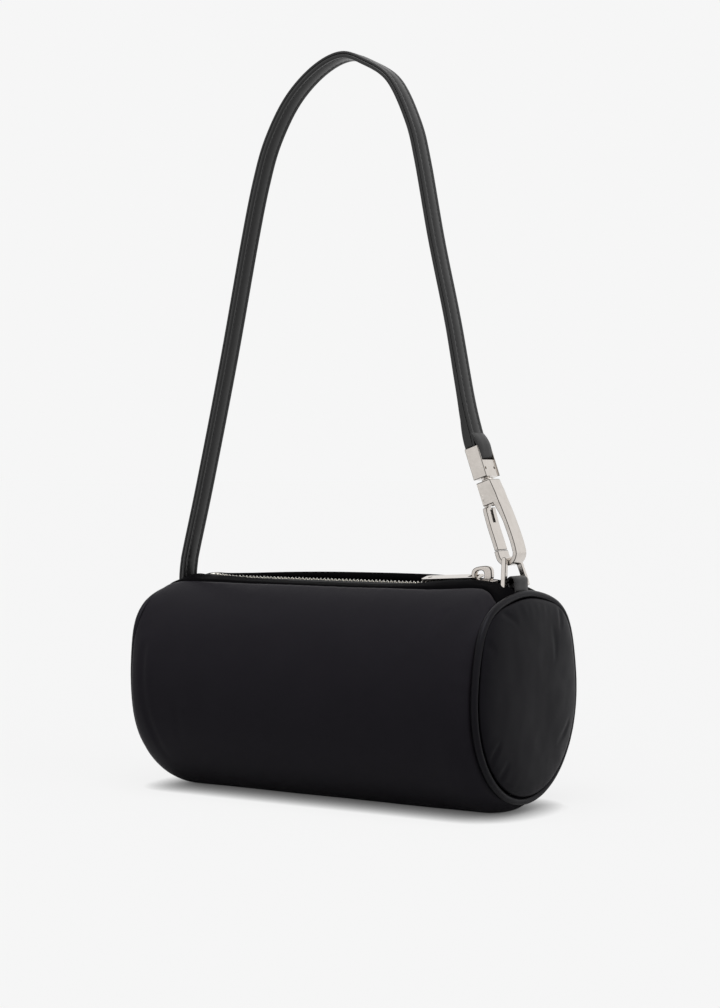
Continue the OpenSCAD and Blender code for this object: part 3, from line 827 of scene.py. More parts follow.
def plate(outline: Sequence[Pair], width: float, hole: Sequence[Pair] = ()) -> BMesh:
    """Extrudes an outline drawn in X and Z, evenly to both sides of the XZ plane.

    Args:
        outline: Its points, once round.
        width: The plate's width along Y.
        hole: A window's points, as many as the outline has.

    Returns:
        The plate.
    """
    bm = bmesh.new()
    rims = []
    for loop in (outline, hole):
        verts = [bm.verts.new((x, -width / 2, z)) for x, z in loop]
        rims += [bm.edges.new((verts[k - 1], verts[k])) for k in range(len(verts))]
    if hole:
        flat = bmesh.ops.bridge_loops(bm, edges=rims)["faces"]
    else:
        flat = bmesh.ops.contextual_create(bm, geom=rims)["faces"]
    moved = bmesh.ops.extrude_face_region(bm, geom=flat)["geom"]
    up = [item for item in moved if isinstance(item, bmesh.types.BMVert)]
    bmesh.ops.translate(bm, vec=(0, width, 0), verts=up)
    return outward(bm)


def drilled(half: Pair, holes: Sequence[Triple], width: float, steps: int = 20) -> BMesh:
    """Makes a flat slab in Y and Z with round holes, evenly to both sides of the YZ plane.

    Args:
        half: Its half sizes.
        holes: Each hole's middle and radius.
        width: The slab's thickness along X.
        steps: The faces round each hole.

    Returns:
        The slab.
    """
    bm = bmesh.new()
    loops = [[(-half[0], -half[1]), (half[0], -half[1]), (half[0], half[1]), (-half[0], half[1])]]
    loops += [[(y + r * math.cos(TURN * k / steps), z + r * math.sin(TURN * k / steps))
               for k in range(steps)] for y, z, r in holes]
    rims = []
    for loop in loops:
        verts = [bm.verts.new((-width / 2, y, z)) for y, z in loop]
        rims += [bm.edges.new((verts[k - 1], verts[k])) for k in range(len(verts))]
    made = bmesh.ops.triangle_fill(bm, use_beauty=True, edges=rims)["geom"]
    flat = [item for item in made if isinstance(item, bmesh.types.BMFace)]
    moved = bmesh.ops.extrude_face_region(bm, geom=flat)["geom"]
    far = [item for item in moved if isinstance(item, bmesh.types.BMVert)]
    bmesh.ops.translate(bm, vec=(width, 0, 0), verts=far)
    return outward(bm)


def add_box(bm: BMesh, low: Triple, high: Triple) -> None:
    """Adds a box to a mesh.

    Args:
        bm: The mesh.
        low: The box's lowest corner.
        high: Its highest corner.
    """
    made = bmesh.ops.create_cube(bm, size=1.0)["verts"]
    bmesh.ops.scale(bm, vec=[b - a for a, b in zip(low, high)], verts=made)
    bmesh.ops.translate(bm, vec=[(a + b) / 2 for a, b in zip(low, high)], verts=made)


def add_rod(bm: BMesh, start: Vector, end: Vector, radius: float) -> None:
    """Adds a round bar to a mesh.

    Args:
        bm: The mesh.
        start: The middle of its first end.
        end: The middle of its other end.
        radius: Its radius.
    """
    way = end - start
    made = bmesh.ops.create_cone(bm, segments=32, radius1=radius, radius2=radius,
                                 depth=way.length, cap_ends=True)["verts"]
    turn = way.to_track_quat("Z", "Y").to_matrix().to_4x4()
    place = Matrix.Translation((start + end) / 2) @ turn
    bmesh.ops.transform(bm, matrix=place, verts=made)


def rounded_square(middle: Pair, half: Pair, power: float, count: int = 40) -> list[Pair]:
    """Draws a rounded rectangle.

    Args:
        middle: Its middle.
        half: Its half sizes.
        power: 2 for an ellipse, more for squarer corners.
        count: Its points.

    Returns:
        The points, once round.
    """
    points = []
    for k in range(count):
        c, s = math.cos(TURN * k / count), math.sin(TURN * k / count)
        points.append((middle[0] + half[0] * math.copysign(abs(c) ** (2 / power), c),
                       middle[1] + half[1] * math.copysign(abs(s) ** (2 / power), s)))
    return points


def joined(parts: Sequence[BMesh]) -> BMesh:
    """Puts meshes into one.

    Args:
        parts: The meshes, which are freed.

    Returns:
        The whole.
    """
    whole = bmesh.new()
    for part in parts:
        held = bpy.data.meshes.new("held")
        part.to_mesh(held)
        part.free()
        whole.from_mesh(held)
        bpy.data.meshes.remove(held)
    return whole


def held(value: float) -> float:
    """The value, held between nought and one."""
    return min(1.0, max(0.0, value))


def hump(value: float, middle: float, width: float) -> float:
    """A soft hump: one at its middle, fading to nought over its width to both sides."""
    return math.exp(-((value - middle) / width) ** 2)


def ripple(x: float, y: float, z: float) -> float:
    """The soft noise at a place, about -1 to 1."""
    return noise.noise(Vector((x, y, z)))


def upright(points: Sequence[Pair]) -> list[Vector]:
    """Points in the bag's long upright plane, from their places along and up."""
    return [Vector((x, 0, z)) for x, z in points]


def leaned(point: Pair, lean_deg: float) -> Matrix:
    """The frame of a part that leans over a point of the bag's long upright plane."""
    spin = Matrix.Rotation(-math.radians(lean_deg), 4, "Y")
    return Matrix.Translation(Vector((point[0], 0, point[1]))) @ spin


def spline(points: Sequence[Vector], steps: int) -> list[Vector]:
    """Draws a smooth curve through points.

    Args:
        points: The points.
        steps: Steps from each point to the next.

    Returns:
        The curve's points.
    """
    last = len(points) - 1
    curve = []
    for k in range(last):
        a, b, c, d = (points[min(last, max(0, k + j))] for j in (-1, 0, 1, 2))
        for j in range(steps):
            t = j / steps
            curve.append(b + t / 2 * (c - a + t * (2 * a - 5 * b + 4 * c - d
                                                   + t * (3 * b - a - 3 * c + d))))
    return curve + [points[last]]


@dataclass
class Band:
    """A flat leather band that follows a line in the bag's long upright plane."""

    line: list[Vector]
    half_width: float
    low: float
    high: float
    edge_r: float = 0.45
    groove_y: float = 0.0
    groove: float = 0.0
    bulk: Callable[[Vector], float] | None = None
    groove_half: float = 0.7
    edge_steps: int = 3

    def side(self, share: float) -> tuple[Vector, Vector]:
        """Finds a place on the line.

        Args:
            share: How far along the line, 0 to 1.

        Returns:
            The point and the direction across the band's thickness.
        """
        last = len(self.line) - 1
        where = share * last
        k = min(last - 1, int(where))
        point = self.line[k].lerp(self.line[k + 1], where - k)
        before = self.line[max(0, k - 1)].lerp(self.line[max(0, k - 1) + 1], where - k)
        ahead = min(last, k + 2)
        after = self.line[ahead - 1].lerp(self.line[ahead], where - k)
        way = (after - before).normalized()
        return point, Vector((-way.z, 0, way.x))

    def section(self) -> list[tuple[float, float, bool]]:
        """Draws the band's section.

        Returns:
            Points as (across, depth, on the painted edge), once round and closed.
        """
        w, r = self.half_width, min(self.edge_r, (self.high - self.low) / 2)
        g, wide, steps = self.groove_y, self.groove_half, self.edge_steps
        flats = [-w / 3, w / 3]
        if g:
            flats = [-g - wide, -g, -g + wide, 0.0, g - wide, g, g + wide]
        points = []
        for top in (True, False):
            depth = self.high if top else self.low
            away = 1 if top else -1
            run = flats if top else flats[::-1]
            for y in run:
                cut = self.groove if g and abs(abs(y) - g) < WELD else 0.0
                points.append((y, depth - away * cut, False))
            for j in range(steps + 1):
                a = QUARTER * j / steps
                turn = (w - r + r * math.sin(a), depth - away * r * (1 - math.cos(a)))
                points.append((away * turn[0], turn[1], j > 0))
            for j in range(steps - 1, -1, -1):
                a = QUARTER * j / steps
                other = self.low if top else self.high
                turn = (w - r + r * math.sin(a), other + away * r * (1 - math.cos(a)))
                points.append((away * turn[0], turn[1], True))
        return points + [points[0]]

    def build(self) -> BMesh:
        """Makes the band.

        Returns:
            The closed solid; its painted edges have the second finish.
        """
        shape = self.section()
        rows = len(shape) - 1
        length = sum((b - a).length for a, b in zip(self.line, self.line[1:]))

        def place(u: float, v: float) -> Vector:
            """Finds a point of the band.

            Args:
                u: Share along its line.
                v: Share round its section.

            Returns:
                The point.
            """
            point, across = self.side(u)
            y, depth, _ = shape[round(v * rows)]
            if self.bulk and depth < 0:
                depth *= 1 + self.bulk(point) / -self.low
            return point + across * depth + Vector((0, y, 0))

        columns = len(self.line) - 1
        bm = woven_grid(place, columns, rows, (length, 2 * self.half_width))
        rim = self.half_width - self.edge_r
        for face in bm.faces:
            if all(abs(vert.co.y) > rim + WELD for vert in face.verts):
                face.material_index = 1
        return close_ends(bm)

    def publish(
        self, name: str, body: Body, nodes: tuple[str, ...], rides: bool = True
    ) -> bpy.types.Object:
        """Builds the band as a leather piece with painted edges.

        Args:
            name: The piece's name.
            body: The body that it rides on.
            nodes: The CAD nodes that it replaces.
            rides: False for a piece that is left without a body.

        Returns:
            The piece's object.
        """
        both = (Finish.LEATHER, Finish.EDGE)
        piece = Piece(name, body, Slot.LEATHER, both, nodes, LEATHER_DEG)
        return piece.publish(self.build(), rides)


def between(x: float, knots: Sequence[Pair]) -> float:
    """Reads a smooth line drawn through knots.

    Args:
        x: Where it is read.
        knots: Points as (place, value), in order.

    Returns:
        The value there.
    """
    last = len(knots) - 1
    if x <= knots[0][0]:
        return knots[0][1]
    if x >= knots[last][0]:
        return knots[last][1]
    k = max(j for j in range(last) if knots[j][0] <= x)
    (a, low), (b, high) = knots[k], knots[k + 1]
    slopes = []
    for j in (k, k + 1):
        before, after = knots[max(0, j - 1)], knots[min(last, j + 1)]
        slopes.append((after[1] - before[1]) / (after[0] - before[0]) * (b - a))
    t, rise = (x - a) / (b - a), high - low
    return low + t * (slopes[0] + t * (3 * rise - 2 * slopes[0] - slopes[1]
                                       + t * (slopes[0] + slopes[1] - 2 * rise)))


def end_swell(angle: float) -> float:
    """How far an end seam stands out past its circle, in millimetres.

    The stuffing fills out the two upper corners of the seam and leaves its foot flatter.

    Args:
        angle: Angle from the top, in radians.

    Returns:
        The distance.
    """
    turn = abs(math.degrees(math.remainder(angle, TURN)))
    return CORNER_SWELL * hump(turn, 45, 21) - 1.3 * ((1 - math.cos(angle)) / 2) ** 3


def end_draw(side: float, angle: float) -> float:
    """How far the left end's seam is drawn in along the barrel, in millimetres.

    Args:
        side: Negative for the left end.
        angle: Angle from the top, in radians.

    Returns:
        The distance.
    """
    if side > 0:
        return 0.0
    turn = abs(math.degrees(math.remainder(angle, TURN)))
    return 1.9 * hump(turn, 94, 26) - 1.0 * hump(turn, 50, 18)


def end_word(side: int) -> str:
    """An end of the bag as its nodes name it: -1 for the left, 1 for the right."""
    return "right" if side > 0 else "left"


def face_word(side: int) -> str:
    """A long side of the bag as its nodes name it: -1 for the front, 1 for the back."""
    return "front" if side < 0 else "back"


# ---- The stuffed barrel ----


@dataclass(frozen=True)
class Fold:
    """A soft fold pressed in the cloth by hand or seam.

    Places are (along or out from the middle, angle in degrees from the top towards the front).
    """

    start: Pair
    end: Pair
    width: float
    depth: float

    def at(self, a: float, b: float, radius: float) -> float:
        """How deep the fold is at a place.

        Args:
            a: The first coordinate there.
            b: The angle there, in degrees.
            radius: Millimetres in a radian of angle.

        Returns:
            The depth.
        """
        scale = math.radians(1) * radius
        p = Vector((a, b * scale))
        s = Vector((self.start[0], self.start[1] * scale))
        e = Vector((self.end[0], self.end[1] * scale))
        way = e - s
        t = held((p - s).dot(way) / way.length_squared)
        off = (p - s - way * t).length / self.width
        if off > 3:
            return 0.0
        swell = 0.35 + 0.65 * math.sin(math.pi * min(1.0, 0.15 + t * 0.85))
        return self.depth * swell * (1 - 0.9 * off * off) * math.exp(-off * off)


@dataclass
class Barrel:
    """The stuffed barrel: a foam-backed nylon panel, its foam and its lining."""

    radius: float = 60.5
    axis_z: float = 59.2
    shoulder_x: float = 92.0
    # Each shoulder's reach along the barrel and its drop to the seam
    left_shoulder: Pair = (15.6, 4.6)
    right_shoulder: Pair = (14.9, 6.8)
    neck_x: float = 108.8
    neck_drop: float = 1.8
    zip_seam: Knots = (
        (-108, 24.0), (-100, 21.8), (-90, 21.0), (62, 21.0), (75, 19.6), (86, 17.8), (92, 17.5),
        (96, 18.5), (100, 21.2), (104, 24.6), (108, 26.6),
    )
    seam_dip: float = 1.7
    seam_roll: float = 1.0
    fabric_t: float = 0.95
    # Depths of each layer's two faces under the outer one
    foam: Pair = (1.1, 3.6)
    lining: Pair = (3.7, 4.3)
    foam_sink: float = 0.5
    foam_slack: float = 0.6
    foam_edge: float = 2.0
    lining_edge: float = 12.9
    ground_soft: float = 0.7
    # Each wave's height, its lengths along and round, and its seed
    waves: tuple[tuple[float, ...], ...] = (
        (0.22, 46, 40, 1.7), (0.10, 15, 15, 5.1), (0.035, 6.5, 6.5, 8.4),
    )
    # Heights of the gathers at the left end and the right
    gathers: Pair = (0.12, 0.34)
    gather_count: int = 34
    tuck: float = 0.16
    least_slope: float = 0.25
    body_steps: int = 50
    shoulder_steps: int = 14
    round_faces: int = 190
    folds: tuple[Fold, ...] = (
        Fold((-98.0, 68), (-95.0, 96), 2.4, 0.8),
        Fold((-95.0, 96), (-90.5, 130), 2.6, 0.55),
        Fold((-73.0, 96), (-75.0, 118), 2.8, 0.22),
        Fold((84.0, 41), (79.0, 57), 3.4, 0.5),
        Fold((98.0, 32), (102.0, 40), 1.8, 0.3),
        Fold((97.5, 118), (92.0, 140), 2.6, 0.3),
        Fold((-96.0, -60), (-93.0, -118), 2.2, 0.5),
        Fold((97.0, -62), (93.0, -104), 2.2, 0.45),
        Fold((60.0, -44), (44.0, -58), 3.2, 0.3),
    )

    def stations(self, inset: float) -> list[Pair]:
        """Draws the barrel's profile.

        Args:
            inset: Depth under the outer face.

        Returns:
            Points as (along, radius) from the left neck to the right one.
        """
        sides = []
        for reach, drop in (self.left_shoulder, self.right_shoulder):
            seam_r = self.radius - drop
            half = [(self.shoulder_x * k / self.body_steps, self.radius - inset)
                    for k in range(self.body_steps)]
            for k in range(self.shoulder_steps + 1):
                a = QUARTER * k / self.shoulder_steps
                half.append((
                    self.shoulder_x + (reach - inset) * math.sin(a),
                    seam_r + (drop - min(inset, drop)) * math.cos(a),
                ))
            end_x = self.shoulder_x + reach - inset
            for k in (0.4, 1.0):
                half.append((end_x + (self.neck_x - inset - end_x) * k,
                             seam_r - self.neck_drop * k))
            sides.append(half)
        return [(-x, r) for x, r in sides[0][:0:-1]] + sides[1]

    @property
    def end_x(self) -> float:
        """Where the right shoulder meets its end seam."""
        return self.shoulder_x + self.right_shoulder[0]

    def shoulder(self, x: float) -> Pair:
        """The reach and drop of the shoulder at one end of the barrel."""
        return self.left_shoulder if x < 0 else self.right_shoulder

    def turned(self, x: float) -> float:
        """The share of its shoulder's turn that the barrel has made at a place along it."""
        t = held((abs(x) - self.shoulder_x) / self.shoulder(x)[0])
        return 1 - math.sqrt(1 - t * t)

    def pinch(self, x: float, angle: float, r: float, off_seam: float) -> float:
        """Adds up the small waves of the sewn cloth.

        Args:
            x: Place along the barrel.
            angle: Angle from the top, in radians.
            r: Radius there.
            off_seam: Distance from the nearer zip seam.

        Returns:
            How far the cloth stands out.
        """
        arc = angle * r
        wave = 0.0
        for high, along, around, seed in self.waves:
            wave += high * ripple(x / along, arc / around, seed)
        to_end = max(0.0, self.neck_x - abs(x))
        ridge = math.sin(angle * self.gather_count + 2.2 * ripple(angle * 3, x / 30, 0.3))
        patch = max(0.0, ripple(angle * 2.3, 7.3 if x > 0 else 2.9, 0.5) + 0.12)
        wave += self.gathers[x > 0] * patch * ridge * hump(to_end, 6, 6.5)
        tuck = ripple(x / 3.1, 3.3, 8.0) + 0.6 * ripple(x / 1.7, 9, 2)
        wave += self.tuck * tuck * hump(off_seam, 3.0, 3.2)
        fade = min(1.0, off_seam / 2.0) * min(1.0, to_end / 4.0)
        dent = sum(fold.at(x, math.degrees(angle), self.radius) for fold in self.folds)
        return wave * fade - dent * held((to_end - 2) / 5)

    def point(self, x: float, r: float, angle: float, inset: float) -> Vector:
        """Places a point of a layer and rests it on the ground.

        Args:
            x: Place along the barrel.
            r: The layer's radius there.
            angle: Angle from the top towards the front, in radians.
            inset: Depth under the outer face.

        Returns:
            The point on the settled bag.
        """
        spot = Vector((x, -r * math.sin(angle), self.axis_z + r * math.cos(angle)))
        low = spot.z - inset
        spot.z = inset + (low + math.sqrt(low * low + self.ground_soft ** 2)) / 2
        return spot

    def seam_at(self, x: float) -> float:
        """How far the zip seams are from the middle at a place along the barrel."""
        return between(x, self.zip_seam)

    def on_round(self, x: float, y: float) -> float:
        """Finds the barrel's plain round over a place.

        Args:
            x: The place along the barrel.
            y: The place across it.

        Returns:
            The round's height there.
        """
        share = self.turned(x)
        plain = r = self.radius - self.shoulder(x)[1] * share
        for _ in range(4):
            r = plain + share * end_swell(math.asin(min(1.0, abs(y) / r)))
        return self.axis_z + math.sqrt(r * r - y * y)

    def panel_sheet(self, inset: float, edge_at: Callable[[float], float]) -> BMesh:
        """Lofts one open layer from zip seam to zip seam.

        Args:
            inset: Depth under the outer face.
            edge_at: How far its top edges are from the middle, at each place along.

        Returns:
            The sheet.
        """
        profile = self.stations(inset)
        last = len(profile) - 1

        def place(u: float, v: float) -> Vector:
            """Finds a point of the layer.

            Args:
                u: Share along the barrel.
                v: Share round it, from seam to seam.

            Returns:
                The point.
            """
            x, r = profile[round(u * last)]
            share = self.turned(x)
            edge_y, full = edge_at(x), r
            for _ in range(4):
                edge = math.asin(min(1.0, edge_y / full))
                full = r + share * end_swell(edge)
            angle = edge + v * (TURN - 2 * edge)
            signed = angle if angle < math.pi else angle - TURN
            r += share * end_swell(signed)
            if abs(x) > self.shoulder_x:
                x -= math.copysign(share * end_draw(x, signed), x)
            off_seam = (abs(signed) - edge) * r
            dip = self.seam_dip * hump(off_seam, 0, self.seam_roll)
            dip *= between(abs(x), ((93, 1), (101, 0.45)))
            lift = self.pinch(x, signed, r, off_seam) - dip if inset < 1 else 0.0
            slope = max(self.least_slope, 1 - share)
            side = math.copysign(math.sqrt(1 - slope * slope), x)
            return self.point(x + lift * side, r + lift * slope, angle, inset)

        length = 2 * self.neck_x + self.right_shoulder[1]
        girth = TURN * (self.radius - inset) - 2 * edge_at(0)
        return woven_grid(place, last, self.round_faces, (length, girth))

    def build(self) -> None:
        """Makes the panel, its foam and its lining."""
        middle = Vector((0, 0, self.axis_z))
        shell = thicken(self.panel_sheet(0.0, self.seam_at), middle, self.fabric_t)
        soft_piece("barrel_panel", Slot.NYLON, Finish.NYLON, "body_panel", shell, 0.75)
        sheet = self.panel_sheet(self.foam[0] + self.foam_sink,
                                 lambda x: self.seam_at(x) + self.foam_edge)
        foam = thicken(sheet, middle, self.foam[1] - self.foam[0] - self.foam_slack)
        soft_piece("barrel_foam", Slot.FOAM, Finish.FOAM, "body_foam", foam, 0.7)
        sheet = self.panel_sheet(self.lining[0], lambda x: self.lining_edge)
        area = sum(face.calc_area() for face in sheet.faces)
        cloth = thicken(sheet, middle, self.lining[1] - self.lining[0])
        made = soft_piece("barrel_lining", Slot.LINING, Finish.LINING, "body_lining", cloth)
        wide = area / (2 * self.neck_x)
        wide * MM


@dataclass
class RoundEnd:
    """One domed end of the barrel with its foam, lining and piping."""

    side: int
    axis_z: float = 59.2
    seam_x: float = 109.0
    dome_x: float = 110.5
    bulge: float = 6.0
    power: float = 3.0
    rim_r: float = 51.8
    corner_fill: float = 1.1
    piping_ring_r: float = 54.0
    piping_r: float = 1.9
    foam: Pair = (1.1, 3.6)
    lining: Pair = (3.7, 4.3)
    inner_r: float = 45.8
    cord_r: float = 1.4
    left_sink: float = 0.6
    fabric_t: float = 0.6
    rim_tuck: float = 1.2
    foam_sink: float = 0.6
    foam_slack: float = 0.7
    gather_count: int = 41
    fold_r: float = 42.0
    rings: int = 46
    round_faces: int = 176
    folds: tuple[Fold, ...] = ()

    @property
    def word(self) -> str:
        """The end's side as its nodes name it."""
        return end_word(self.side)

    def point(self, x: float, r: float, angle: float) -> Vector:
        """Places a point of this end.

        Args:
            x: Its distance along the barrel.
            r: Its plain radius.
            angle: Its angle from the top towards the front, in radians.

        Returns:
            The point.
        """
        near_rim = min(1.0, r / self.rim_r) ** 3
        r += (end_swell(angle) - (self.left_sink if self.side < 0 else 0.0)) * near_rim
        x -= end_draw(self.side, angle) * near_rim
        return Vector((self.side * x, -r * math.sin(angle), self.axis_z + r * math.cos(angle)))

    def dome(self, r: float) -> float:
        """How far out the plain dome stands at a radius."""
        rest = max(0.0, 1 - (r / self.rim_r) ** self.power)
        return self.dome_x + self.bulge * math.sqrt(rest)

    def pinch(self, r: float, angle: float) -> float:
        """Adds up the gathers and waves of the round panel.

        Args:
            r: Radius there.
            angle: Angle from the top towards the front, in radians.

        Returns:
            How far the cloth stands out.
        """
        seed = 3.0 if self.side > 0 else 11.0
        y, z = r * math.sin(angle), r * math.cos(angle)
        wave = 0.45 * ripple(y / 30, z / 30, seed)
        wave += 0.16 * ripple(y / 11, z / 11, seed + 4)
        from_rim = self.rim_r - r
        around = Vector((math.cos(angle) * 2.1, math.sin(angle) * 2.1, seed))
        patch = max(0.0, noise.noise(around) + 0.25)
        ridge = math.sin(angle * self.gather_count + 3.0 * noise.noise(around * 1.7))
        wave += 0.17 * patch * ridge * hump(from_rim, 2.5, 5.5)
        wave += 0.04 * ripple(y / 5.5, z / 5.5, seed + 8)
        degrees = math.degrees(angle if angle < math.pi else angle - TURN)
        dent = sum(fold.at(r, degrees, self.fold_r) for fold in self.folds)
        return wave * held(from_rim / 3.0) - dent * held(from_rim / 1.5)

    def sheet(self, inset: float, out_r: float, tuck: float, waves: bool) -> BMesh:
        """Lofts one round layer.

        Args:
            inset: Depth under the outer face.
            out_r: Its radius.
            tuck: How far its rim turns in.
            waves: True for the outer layer, which shows its gathers.

        Returns:
            The sheet.
        """
        turned = 3 / self.rings if tuck else 0.0

        def place(u: float, v: float) -> Vector:
            """Finds a point of the layer.

            Args:
                u: Share round the end.
                v: Share out from its middle, and on round its tucked rim.

            Returns:
                The point.
            """
            angle = u * TURN
            wide = out_r
            if tuck:
                wide += self.corner_fill * max(-1.0, end_swell(angle) / CORNER_SWELL)
            share = v / (1 - turned)
            if share > 1:
                past = (share - 1) * (1 - turned) / turned
                return self.point(self.dome_x - tuck * past, wide - tuck * 0.5 * past, angle)
            r = out_r * math.sin(QUARTER * share ** 0.9)
            lift = self.pinch(r, angle) if waves else 0.0
            return self.point(self.dome(r) - inset + lift, r + (wide - out_r) * share ** 6, angle)

        bm = woven_grid(place, self.round_faces, self.rings, (TURN * out_r, out_r))
        # The weave lies straight across the round
        flat = bm.loops.layers.uv["cloth"]
        for face in bm.faces:
            for loop in face.loops:
                loop[flat].uv = (loop.vert.co.y * MM, (loop.vert.co.z - self.axis_z) * MM)
        return bm

    def build(self) -> None:
        """Makes the round panel, its foam and lining, and the piping with its cord."""
        middle = Vector((0, 0, self.axis_z))
        (foam_top, foam_low), (cloth_top, cloth_low) = self.foam, self.lining
        for name, slot, finish, node, shape, thickness, fill in (
            ("round_end", Slot.NYLON, Finish.CAP, "end_panel",
             (0.0, self.rim_r, self.rim_tuck, True), self.fabric_t, 0.7),
            ("round_foam", Slot.FOAM, Finish.FOAM, "end_foam",
             (foam_top + self.foam_sink, self.inner_r, 0, False),
             foam_low - foam_top - self.foam_slack, 0.7),
            ("round_lining", Slot.LINING, Finish.LINING, "end_lining",
             (cloth_top, self.inner_r, 0, False), cloth_low - cloth_top, None),
        ):
            solid = thicken(self.sheet(*shape), middle, thickness)
            made = soft_piece(f"{name}_{self.word}", slot, finish, f"{node}_{self.word}", solid,
                              fill)
        f"round_foam_{self.word}"
        self.roll()

    def roll(self) -> None:
        """Makes the piping's bias strip and the cord in it."""

        def strip(u: float, v: float) -> Vector:
            """Finds a point of the bias strip.

            Args:
                u: Share along the piping.
                v: Share round its roll.

            Returns:
                The point.
            """
            angle, about = u * TURN, v * TURN
            ruck = ripple(math.cos(angle) * 26, math.sin(angle) * 26, self.side)
            slack = ripple(math.cos(angle) * 4, math.sin(angle) * 4, self.side)
            r = self.piping_r * (1 + 0.018 * ruck + 0.02 * slack)
            x = self.seam_x + r * math.sin(about)
            return self.point(x, self.piping_ring_r + r * math.cos(about), angle)

        girth = TURN * self.piping_ring_r
        bm = woven_grid(strip, 360, 20, (girth, TURN * self.piping_r))
        outward(bm)
        soft_piece(f"piping_roll_{self.word}", Slot.TRIM, Finish.PIPING, f"piping_{self.word}", bm)

        def core(u: float, v: float) -> Vector:
            """The point at a share along the cord and round it."""
            x = self.seam_x + self.cord_r * math.sin(v * TURN)
            return self.point(x, self.piping_ring_r + self.cord_r * math.cos(v * TURN), u * TURN)

        cord = woven_grid(core, 120, 10, (girth, TURN * self.cord_r))
        outward(cord)
        soft_piece(f"piping_core_{self.word}", Slot.CORD, Finish.CORD,
                   f"piping_cord_{self.word}", cord)


# ---- The zip ----


